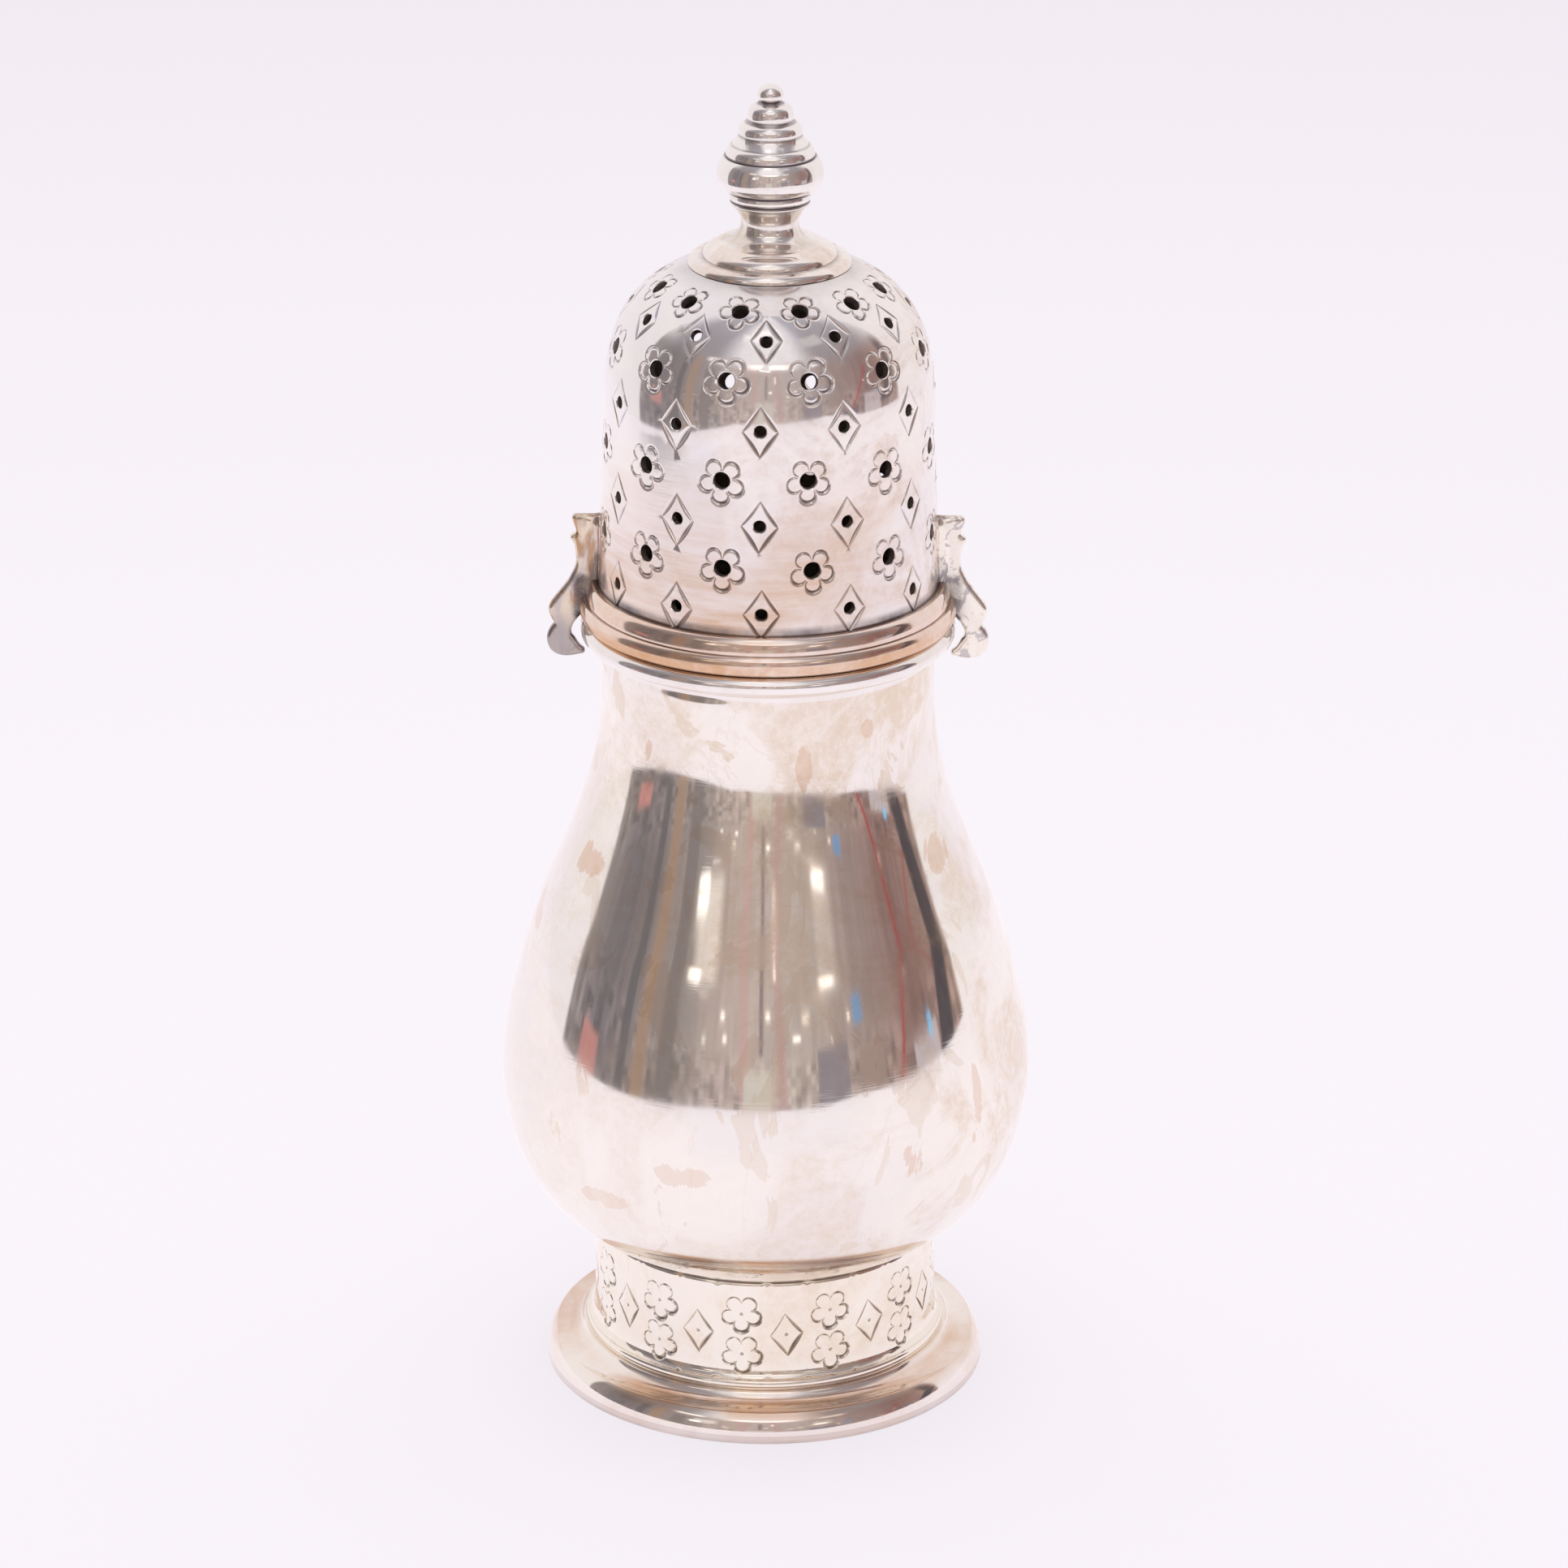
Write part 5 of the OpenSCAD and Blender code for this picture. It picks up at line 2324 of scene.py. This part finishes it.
@dataclass(frozen=True)
class Finial:
    """Plate, knop, stud and nut."""

    sizes: FrameSizes
    step_h: float = 1.2 * MM
    step_w: float = 2.1 * MM
    step_round: float = 1.3 * MM
    cushion_round: float = 1.6 * MM
    seam: float = 0.3 * MM
    bore_r: float = 1.6 * MM
    grip: float = 7.0 * MM
    stem_r: float = 4.2 * MM
    ball_root: float = 5.9 * MM
    ball_neck: float = 5.3 * MM
    ball_up: float = 9.55 * MM
    ball_below: float = 1.95 * MM
    ball_above: float = 3.6 * MM
    tip_r: float = 1.9 * MM
    tip_h: float = 1.64 * MM
    thread_pitch: float = 0.5 * MM

    def build(self, silver: Material, warm: Material, brass: Material) -> None:
        """Builds and dresses the finial's pieces.

        Args:
            silver: Finish of the knop.
            warm: Finish of the plate.
            brass: Finish of the stud and the nut.
        """
        hand_over(dress(self.plate(), warm), "finial_plate", Body.COVER)
        hand_over(dress(self.knop(), silver), "finial_knop", Body.COVER)
        hand_over(dress(self.stud(), brass), "finial_stud", Body.COVER)
        hand_over(dress(self.nut(), brass), "finial_nut", Body.COVER)

    def plate(self) -> Piece:
        """The stepped base plate with its cushion.

        Returns:
            The object.
        """
        s = self.sizes
        cushion_r, step_z = s.plate_r - self.step_w, s.plate_z + self.step_h
        outline = chain(
            [(self.bore_r, s.plate_z), (s.plate_r - self.seam, s.plate_z)],
            rolled(s.plate_r, s.plate_z + 0.1 * MM, self.step_round, 4, 64),
            [(cushion_r + 0.15 * MM, step_z)],
            rolled(cushion_r, step_z + 0.1 * MM, self.cushion_round, 4, 58),
            bezier(
                (cushion_r - 0.85 * MM, step_z + 1.43 * MM), (cushion_r - 2.2 * MM, s.stem_z - 0.35 * MM),
                (self.stem_r + 3.6 * MM, s.stem_z - 0.12 * MM),
                (self.stem_r + 3.0 * MM, s.stem_z - 0.05 * MM), 16,
            ),
            [(self.bore_r, s.stem_z)],
        )
        return turned("plate", outline, [(s.plate_r - self.seam, s.plate_z)], 160)

    def knop(self) -> Piece:
        """The turned knop: stem, cup, ball, ring, hollow, two beads and a tip.

        Returns:
            The object.
        """
        s = self.sizes
        stem_r, z, belly = self.stem_r, s.stem_z, s.knop_r - self.ball_root
        tip_z = s.top_z - self.tip_h

        def at(r: float, up: float) -> tuple[float, float]:
            """A point by its radius and its height above the stem's foot, in millimetres."""
            return r * MM, z + up * MM

        outline = chain(
            [(0, z + self.grip), (self.bore_r, z + self.grip), (self.bore_r, z)],
            bezier((stem_r + 2.9 * MM, z - 0.06 * MM), (stem_r + 1.4 * MM, z + 0.1 * MM),
                   (stem_r + 0.05 * MM, z + 0.9 * MM), (stem_r, z + 2.6 * MM), 18),
            bezier((stem_r, z + 2.6 * MM), (stem_r, z + 3.7 * MM), at(5.0, 4.5), at(5.5, 5.35), 14),
            arc(at(5.5, 5.72), 0.3 * MM, 0.34 * MM, -75, 75, 8),
            arc(at(5.6, 6.75), 0.4 * MM, 0.65 * MM, -75, 75, 10),
            arc((self.ball_root, z + self.ball_up), belly, self.ball_below, -84, 0, 16),
            arc((self.ball_neck, z + self.ball_up), s.knop_r - self.ball_neck, self.ball_above, 0, 55, 18),
            bezier(at(6.42, 12.52), at(6.52, 13.1), at(6.2, 13.85), at(5.8, 14.1), 12),
            [at(5.72, 14.14), at(5.58, 14.2)],
            bezier(at(5.55, 14.25), at(5.1, 14.75), at(4.75, 15.2), at(4.6, 15.75), 10),
            bezier(at(4.62, 15.8), at(4.74, 16.45), at(4.5, 17.1), at(4.0, 17.38), 12),
            [at(3.55, 17.5), at(3.32, 17.82)],
            bezier(at(3.3, 17.9), at(3.45, 18.75), at(3.2, 19.65), at(2.65, 20.0), 14),
            [at(2.1, 20.12), at(1.6, 20.45)],
            arc((0, tip_z), self.tip_r, self.tip_h, -34, 90, 16),
        )
        outline[-1, 0] = 0
        return turned("knop", outline, [], 128, reach=0.28 * MM, share=0.95)

    def stud(self) -> Piece:
        """The threaded stud, with a thread that winds round it.

        Returns:
            The object.
        """
        low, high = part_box("finial_stud")
        outer, depth = high.x, 0.28 * MM
        sides, rows = 32, int((high.z - low.z) / self.thread_pitch * 8)
        angle = circle(sides)
        points, rings = [(0, 0, low.z)], [np.array([0])]
        for z in np.linspace(low.z, high.z, rows):
            phase = (z / self.thread_pitch - angle / FULL_TURN) % 1
            r = outer - depth * np.abs(2 * phase - 1)
            end = min(z - low.z, high.z - z)
            r = np.minimum(r, outer - depth + end)
            rings.append(len(points) + np.arange(sides))
            points += [(a, b, z) for a, b in around(angle) * r[:, None]]
        rings.append(np.array([len(points)]))
        points.append((0, 0, high.z))
        faces = stitched(rings, closed=False)
        return make_object("stud", np.array(points), faces, np.full(len(points), 0.15), sharp=40)

    def nut(self) -> Piece:
        """The six-sided nut with turned chamfers.

        Returns:
            The object.
        """
        low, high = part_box("finial_nut")
        flat, corner, chamfer = high.y, high.x, 0.35 * MM
        sides = 72
        angle = circle(sides)
        hexagon = flat / np.cos(angle % (math.pi / 3) - math.pi / 6)
        layers = [(low.z, flat - chamfer), (low.z + chamfer, corner), (high.z - chamfer, corner),
                  (high.z, flat - chamfer)]
        points = []
        for z, limit in layers:
            r = np.minimum(hexagon, limit)
            points += [(a, b, z) for a, b in np.stack([np.cos(angle), np.sin(angle)], 1) * r[:, None]]
        for z in (high.z, low.z):
            points += [(self.bore_r * math.cos(w), self.bore_r * math.sin(w), z) for w in angle]
        faces = stitched(list(np.arange(len(points)).reshape(-1, sides)))
        return make_object("nut", np.array(points), faces, np.full(len(points), 0.1), sharp=20)


# Studio


@dataclass(frozen=True)
class Lamp:
    """A soft lamp in the room, by its direction from the caster and its half sizes, in degrees."""

    azimuth: float
    elevation: float
    half_w: float
    half_h: float
    strength: float


@dataclass(frozen=True)
class Panel:
    """A plain upright surface in the room, by its direction and half sizes in degrees.

    It leans by so many degrees of azimuth for each degree of elevation.
    """

    azimuth: float
    elevation: float
    half_w: float
    half_h: float
    tone: Colour
    lean: float = 0.0


@dataclass(frozen=True)
class Studio:
    """Pale floor, white sweep behind, a darker room in front with soft lamps, and the camera."""

    floor_half: float = 4.0
    table: tuple = ((-0.42, -1.0), (0.0, -1.2), (1.05, -1.25), (1.0, 4.0), (-0.55, 4.0), (-0.55, 0.0))
    paper: Colour = (0.955, 0.91, 0.965)
    far_paper: Colour = (0.885, 0.835, 0.89)
    white: Colour = (0.95, 0.905, 0.93)
    ceiling_low: Colour = (0.34, 0.31, 0.33)
    ceiling_high: Colour = (0.5, 0.5, 0.57)
    ceiling_middle: Colour = (0.98, 0.96, 1.0)
    glow_share: float = 0.88
    sweep_edge: float = 100
    sweep_top: float = 60
    floor_dim: float = 0.055
    overhead_size: float = 1.6
    overhead_power: float = 22
    overhead_tint: Colour = (1, 0.975, 1)
    overhead_at: tuple = (0, 0.15, 1.5)
    photo_px: float = 1932
    focal_px: float = 8000
    sensor: float = 36
    pitch: float = 21.333
    roll: float = 0.347
    camera_at: tuple = (2.5 * MM, -898.8 * MM, 443.8 * MM)
    lamps: tuple = (
        Lamp(-36, 16.5, 3.0, 2.2, 1.2), Lamp(-31, 20, 6, 5, 0.4), Lamp(29.5, 15.6, 3.6, 1.4, 1.1),
        Lamp(31, 18, 5, 5, 0.18), Lamp(-20, 10.5, 0.9, 0.5, 1.2), Lamp(1, 11.2, 1.0, 0.55, 1.2),
        Lamp(18.5, 10.6, 1.5, 0.5, 1.2), Lamp(38.5, 8.8, 0.6, 0.5, 1.0), Lamp(-28, 7.0, 0.8, 0.35, 0.9),
        Lamp(-18.5, 7.8, 0.9, 0.45, 1.0), Lamp(14, 8.0, 1.7, 0.4, 1.0), Lamp(30, 7.0, 0.4, 0.3, 0.8),
        Lamp(-30, 12.9, 2.4, 0.35, 0.4), Lamp(24, 13.2, 3.0, 0.35, 0.4), Lamp(4.4, 20.4, 0.5, 3.0, 0.9),
        Lamp(-42, 33, 8, 1.8, 0.9), Lamp(0, 32, 18, 2.2, 0.9), Lamp(38, 32, 7, 1.6, 0.7),
        Lamp(70, 9, 0.5, 0.5, 0.8), Lamp(-10, 66, 14, 7, 0.3), Lamp(48, 54, 12, 5, 0.25),
    )
    panels: tuple = (
        Panel(-57, 10, 3.0, 40, (0.4, 0.28, 0.21)), Panel(-66, 6, 2.2, 30, (0.16, 0.15, 0.16)),
        Panel(-84, -4, 5, 3, (0.62, 0.3, 0.28)), Panel(-45, 5, 3.5, 20, (0.24, 0.21, 0.21)),
        Panel(-10, 10, 2.0, 22, (0.6, 0.42, 0.4), -0.12), Panel(6.5, 10, 2.0, 22, (0.55, 0.39, 0.38), -0.12),
        Panel(-2, 15, 0.9, 9, (0.24, 0.19, 0.2)), Panel(-3, -3, 6.2, 7, (0.68, 0.64, 0.58)),
        Panel(30, 0, 7, 6, (0.26, 0.23, 0.27)), Panel(48, 1, 6, 3.2, (0.36, 0.27, 0.24)),
        Panel(43, 9.3, 2.4, 1.9, (0.2, 0.36, 0.62)), Panel(76, -4, 7, 4.5, (0.6, 0.54, 0.58)),
        Panel(79, 0.6, 1.2, 1.1, (0.26, 0.68, 1.1)), Panel(58, -6, 6, 1.6, (0.12, 0.12, 0.15)),
        Panel(66, 5, 0.7, 13, (0.45, 0.04, 0.04), 0.62), Panel(84, 9, 0.4, 9, (0.4, 0.08, 0.08), -0.9),
        Panel(91, 3, 4.4, 9, (0.05, 0.05, 0.065), 0.5), Panel(95, 20, 2.6, 14, (0.1, 0.08, 0.085)),
    )
    walls: tuple = (
        (-100, (0.32, 0.28, 0.28)), (-80, (0.2, 0.18, 0.195)), (-55, (0.32, 0.27, 0.26)),
        (-38, (0.35, 0.31, 0.3)), (-20, (0.52, 0.43, 0.4)), (0, (0.56, 0.48, 0.45)),
        (20, (0.5, 0.43, 0.4)), (45, (0.38, 0.3, 0.28)), (75, (0.28, 0.18, 0.17)),
        (100, (0.42, 0.3, 0.26)),
    )

    def build(self) -> None:
        """Builds floor, light and camera."""
        self.make_floor()
        self.make_world()
        self.make_lights()
        self.make_camera()
        view = bpy.context.scene.view_settings
        view.view_transform = "Standard"
        view.look = "None"

    def make_floor(self) -> None:
        """The plain floor, and the part of it that the metal mirrors, which ends at a table's edge."""
        half = self.floor_half
        corners = [(-half, -half), (half, -half), (half, half), (-half, half)]
        floor = self._sheet("floor", corners, self.paper_material("paper", self.glow_share - self.floor_dim))
        floor.visible_glossy = False
        floor.visible_shadow = False
        table = self._sheet("table", self.table, self.paper_material("table_paper", self.glow_share))
        table.visible_camera = False
        table.visible_shadow = False
        table.visible_diffuse = False

    @staticmethod
    def _sheet(name: str, corners: Sequence[Point], material: Material) -> Piece:
        """A flat sheet at the height of the foot's underside.

        Args:
            name: Name of the sheet.
            corners: Its corners.
            material: Its finish.

        Returns:
            The sheet.
        """
        mesh = bpy.data.meshes.new(name)
        mesh.from_pydata([(x, y, 0.0) for x, y in corners], [], [tuple(range(len(corners)))])
        mesh.materials.append(material)
        sheet = linked(bpy.data.objects.new(name, mesh))
        return sheet

    def paper_material(self, name: str, glow: float) -> Material:
        """Evenly lit pale paper, a little dimmer far behind, that takes only a faint shadow.

        Args:
            name: Name of the material.
            glow: How brightly it shows without any light of its own.

        Returns:
            The material.
        """
        made, graph = new_material(name)
        y = graph.place()[2]
        tone = graph.mix(y.rise(0.1, 1.0), self.paper, self.far_paper)
        own = 1 - self.glow_share
        shade = tuple(c * own for c in self.paper)
        inputs = {
            "Base Color": (*shade, 1), "Roughness": 0.9, "Specular IOR Level": 0.0, "Emission Color": tone,
            "Emission Strength": glow,
        }
        graph.end(graph.add("ShaderNodeBsdfPrincipled", {}, inputs))
        return made

    def make_world(self) -> None:
        """White behind and above, a dimmer room in front; the camera itself sees plain pale paper."""
        world = bpy.data.worlds.new("studio")
        bpy.context.scene.world = world
        world.use_nodes = True
        graph = Graph(world.node_tree)
        way = graph.add("ShaderNodeTexCoord", output="Generated")
        x = graph.add("ShaderNodeSeparateXYZ", {}, {0: way})
        y, z = x.also("Y"), x.also("Z")
        azimuth = x.turn(y) * (180 / math.pi)
        elevation = z.math("ARCSINE", z) * (180 / math.pi)
        walls, ceiling = self._walls(graph, azimuth, elevation), self._ceiling(graph, azimuth, elevation)
        room = graph.mix(elevation.rise(24, 40), walls, ceiling)
        glow = self._glow(azimuth, elevation)
        sweep = azimuth.size().rise(self.sweep_edge - 1, self.sweep_edge + 1)
        sweep = sweep * elevation.rise(self.sweep_top + 5, self.sweep_top - 5)
        lit = graph.add(
            "ShaderNodeMix", {"data_type": "RGBA", "blend_type": "ADD"},
            {0: 1.0, 6: room, 7: graph.vector(glow, glow * 0.96, glow * 0.9)}, 2,
        )
        surround = graph.mix(sweep, lit, self.white)
        seen = graph.add("ShaderNodeLightPath", output="Is Camera Ray")
        backdrop = graph.mix(seen, surround, self.far_paper)
        shader = graph.add("ShaderNodeBackground", {}, {"Color": backdrop, "Strength": 1.0})
        graph.add("ShaderNodeOutputWorld", {}, {"Surface": shader})

    def _walls(self, graph: Graph, azimuth: Wire, elevation: Wire) -> Wire:
        """The room's walls with their shelves and panels.

        Args:
            graph: The world's tree.
            azimuth: Direction round the caster, in degrees.
            elevation: Direction upwards, in degrees.

        Returns:
            Their colour.
        """
        stops = [((at + 100) / 200, tone) for at, tone in self.walls]
        walls = graph.add("ShaderNodeValToRGB", {"stops": stops}, {0: (azimuth + 100) / 200})
        bands = graph.noise(graph.vector(azimuth * 0.3, elevation * 0.035, 0.0), 1, 5, 0.7)
        shelves = graph.add(
            "ShaderNodeTexWhiteNoise", {"noise_dimensions": "2D"},
            {"Vector": graph.vector((azimuth / 2.2).floor(), (elevation / 1.5).floor(), 0.0)},
        )
        low = elevation.rise(7, 3)
        light = 0.55 + bands * 0.9 + (shelves - 0.5) * low * 0.7
        room = graph.add("ShaderNodeVectorMath", {"operation": "SCALE"}, {0: walls, "Scale": light})
        for panel in self.panels:
            side = azimuth - panel.azimuth - (elevation - panel.elevation) * panel.lean
            share = side.size().rise(panel.half_w + 0.25, panel.half_w - 0.25)
            share = share * (elevation - panel.elevation).size().rise(panel.half_h + 0.5, panel.half_h - 0.5)
            room = graph.mix(share * 0.9, room, panel.tone)
        return room

    def _ceiling(self, graph: Graph, azimuth: Wire, elevation: Wire) -> Wire:
        """The ceiling: dim at its front edge, bright over the caster and white behind.

        Args:
            graph: The world's tree.
            azimuth: Direction round the caster, in degrees.
            elevation: Direction upwards, in degrees.

        Returns:
            Its colour.
        """
        ceiling = graph.mix(elevation.rise(40, 95), self.ceiling_low, self.ceiling_high)
        ceiling = graph.mix((azimuth + 2).size().rise(46, 18), ceiling, self.ceiling_middle)
        return graph.mix(azimuth.size().rise(80, 110), ceiling, self.white)

    def _glow(self, azimuth: Wire, elevation: Wire) -> Wire:
        """The light of all lamps.

        Args:
            azimuth: Direction round the caster, in degrees.
            elevation: Direction upwards, in degrees.

        Returns:
            Its strength.
        """
        glow = 0.0
        for lamp in self.lamps:
            beside_it = (azimuth - lamp.azimuth).size().rise(lamp.half_w * 1.4, lamp.half_w * 0.6)
            above_it = (elevation - lamp.elevation).size().rise(lamp.half_h * 1.4, lamp.half_h * 0.6)
            glow = beside_it * above_it * lamp.strength + glow
        return glow

    def make_lights(self) -> None:
        """A broad soft light over the floor, which the metal doesn't mirror."""
        light = bpy.data.lights.new("overhead", "AREA")
        light.shape = "DISK"
        light.size = self.overhead_size
        light.energy = self.overhead_power
        light.color = self.overhead_tint
        lamp = linked(bpy.data.objects.new("overhead", light))
        lamp.location = self.overhead_at
        lamp.visible_glossy = False
        lamp.visible_camera = False

    def make_camera(self) -> None:
        """The camera at the photograph's place and angle."""
        data = bpy.data.cameras.new("photo_camera")
        data.sensor_width = self.sensor
        data.lens = self.focal_px / self.photo_px * self.sensor
        camera = linked(bpy.data.objects.new("photo_camera", data))
        camera.location = self.camera_at
        camera.rotation_mode = "ZXY"
        camera.rotation_euler = (math.radians(90 - self.pitch), 0, 0)
        spin = camera.rotation_euler.to_matrix() @ Matrix.Rotation(math.radians(self.roll), 3, "Z")
        camera.rotation_mode = "QUATERNION"
        camera.rotation_quaternion = spin.to_quaternion()
        bpy.context.scene.camera = camera


FINISHES = (
    SilverFinish(
        "body_silver", film=(0.79, 0.67, 0.54), film_lean=14, stain=1.1,
        zones=(
            (0.022, 0.6, 0.05, 0.0), (0.045, 0.5, 0.0, 0.0), (0.09, 0.55, 0.0, 0.0),
            (0.1, 0.85, 0.0, 0.0), (0.119, 0.75, 0.0, 0.0),
        ),
        marks=tuple(Mark(turn, r * MM, z * MM, w * MM, h * MM, share) for turn, r, z, w, h, share in (
            (-44, 24.8, 104.9, 0.9, 1.8, 0.42), (13, 24.8, 104.9, 1.3, 3.4, 0.42),
            (-61, 29.4, 86.1, 4.2, 2.0, 0.5), (59, 28.6, 88.3, 3.4, 2.7, 0.42),
            (36, 24.7, 109.3, 1.3, 1.5, 0.4), (52, 39.6, 51.9, 1.2, 5.2, 0.35),
            (33, 39.7, 46.7, 1.8, 3.6, 0.4), (-17, 39.6, 45.8, 5.0, 1.8, 0.28),
            (-81, 34.1, 74.5, 3.0, 3.0, 0.3), (-38, 39.2, 39.0, 4.0, 1.5, 0.25),
            (118, 38.0, 60.0, 2.0, 4.5, 0.35), (205, 30.0, 84.0, 3.0, 2.4, 0.4),
        )),
    ),
    SilverFinish(
        "dome_silver", tint=(0.95, 0.9, 0.85), cool=(0.87, 0.84, 0.84), film=(0.73, 0.6, 0.5), film_scale=60,
        oxide=(0.19, 0.175, 0.19), copper=(0.66, 0.42, 0.25), film_lean=45,
        # The last column darkens where the dome meets the ring and the plate: grime with painted shade.
        zones=(
            (0.1251, 0.45, 1.0, 0.9), (0.1258, 0.45, 1.0, 0.9), (0.1262, 0.45, 1.0, 0.0),
            (0.131, 0.45, 0.85, 0.0), (0.141, 0.5, 0.35, 0.0), (0.15, 0.55, 0.0, 0.0),
            (0.168, 0.35, 0.0, 0.0), (0.1722, 0.35, 0.0, 0.0), (0.1735, 0.35, 0.0, 0.4),
        ),
        stain=0.0, roughness=0.05, veil=0.16, veil_tint=(0.88, 0.85, 0.86),
    ),
    SilverFinish(
        "foot_silver", tint=(0.945, 0.89, 0.8), cool=(0.92, 0.87, 0.8), film=(0.78, 0.64, 0.47),
        zones=(
            (0.0059, 0.15, 0.05, 0.0), (0.0088, 0.25, 0.05, 0.0), (0.011, 0.5, 0.0, 0.0),
            (0.0232, 0.45, 0.0, 0.0),
        ),
        stain=0.5,
    ),
    SilverFinish(
        "knop_silver", tint=(0.955, 0.91, 0.86), cool=(0.92, 0.87, 0.835), film=(0.68, 0.58, 0.44),
        oxide=(0.27, 0.235, 0.25),
        zones=(
            (0.11, 0.2, 0.0, 0.0), (0.176, 0.6, 0.0, 0.0), (0.178, 1.2, 0.0, 0.0),
            (0.1815, 1.0, 0.0, 0.0), (0.1835, 0.2, 0.0, 0.0), (0.2, 0.2, 0.0, 0.0),
        ),
        stain=0.0, waviness=0.01 * MM, roughness=0.03, veil=0.16, veil_tint=(0.86, 0.86, 0.93),
    ),
    SilverFinish(
        "warm_silver", tint=(0.945, 0.89, 0.82), cool=(0.9, 0.84, 0.81), film=(0.76, 0.63, 0.52),
        zones=(
            (0.0013, 0.5, 0.1, 0.0), (0.0035, 0.4, 0.1, 0.0), (0.0041, 0.5, 0.9, 0.0),
            (0.0047, 0.5, 0.9, 0.0), (0.0052, 0.4, 0.3, 0.0), (0.0059, 0.35, 0.1, 0.0),
            (0.1735, 0.75, 0.0, 0.0), (0.2, 0.6, 0.0, 0.0),
        ),
        stain=0.1, waviness=0.015 * MM, veil=0.06,
    ),
    SilverFinish(
        "worn_silver", tint=(0.79, 0.73, 0.695), cool=(0.73, 0.67, 0.65), film=(0.7, 0.58, 0.52),
        # The last column darkens the lowest edge, where the wire meets the floor.
        zones=(
            (0.0, 0.8, 0.3, 0.35), (0.0004, 0.6, 0.2, 0.0), (0.0013, 0.6, 0.3, 0.0),
        ), stain=0.2,
        waviness=0.015 * MM, roughness=0.09,
    ),
    SilverFinish(
        "ring_silver", tint=(0.94, 0.82, 0.73), cool=(0.88, 0.78, 0.74), film=(0.74, 0.51, 0.36),
        copper=(0.65, 0.36, 0.16), oxide=(0.17, 0.13, 0.13),
        zones=(
            (0.1197, 1.4, 1.0, 0.0), (0.1211, 1.2, 1.0, 0.0), (0.1222, 0.5, 0.4, 0.0),
            (0.125, 0.4, 0.3, 0.0),
        ),
        stain=0.1, waviness=0.015 * MM, veil=0.05,
    ),
    SilverFinish("inside_silver", roughness=0.4, waviness=0.02 * MM),
    # This lug's lower part gets painted shade.
    CastFinish(
        "left_lug_metal", tint=(0.81, 0.69, 0.54), bloom=(0.57, 0.5, 0.51), flake=(0.42, 0.34, 0.33),
        flakes=0.5, brown=1.0, roughness=0.12, pit_depth=0.012 * MM, low_shade=0.75,
    ),
    CastFinish(
        "right_lug_metal", tint=(0.95, 0.89, 0.8), bloom=(0.88, 0.82, 0.74), flake=(0.56, 0.52, 0.53),
        flakes=0.8, brown=0.1, roughness=0.12, pit_depth=0.012 * MM, flake_from=0.55,
    ),
    CastFinish(
        "turned_brass", tint=(0.8, 0.62, 0.3), bloom=(0.66, 0.5, 0.24), flake=(0.4, 0.28, 0.12),
        flakes=0.3, brown=0.2, roughness=0.25, pit_depth=0.004 * MM,
    ),
)


def main() -> None:
    """Builds the caster's sub-assemblies in order, then the studio."""
    logging.basicConfig(level=logging.INFO, format="%(name)s: %(message)s")
    sizes = FrameSizes.read()
    metal = {finish.name: finish.material() for finish in FINISHES}
    Foot(sizes).build(metal["foot_silver"], metal["warm_silver"], metal["worn_silver"])
    Vessel(sizes).build(metal["body_silver"], metal["knop_silver"])
    Cover(sizes).build(metal["dome_silver"], metal["ring_silver"], metal["inside_silver"])
    Lug(sizes, grime_and_shade=0.75, grime_and_shade_w=1.25 * MM).build("lug_left", -1, metal["left_lug_metal"])
    Lug(sizes, grime_and_shade=0.6).build("lug_right", 1, metal["right_lug_metal"])
    Finial(sizes).build(metal["knop_silver"], metal["warm_silver"], metal["turned_brass"])
    Studio().build()


if __name__ == "__main__":
    main()
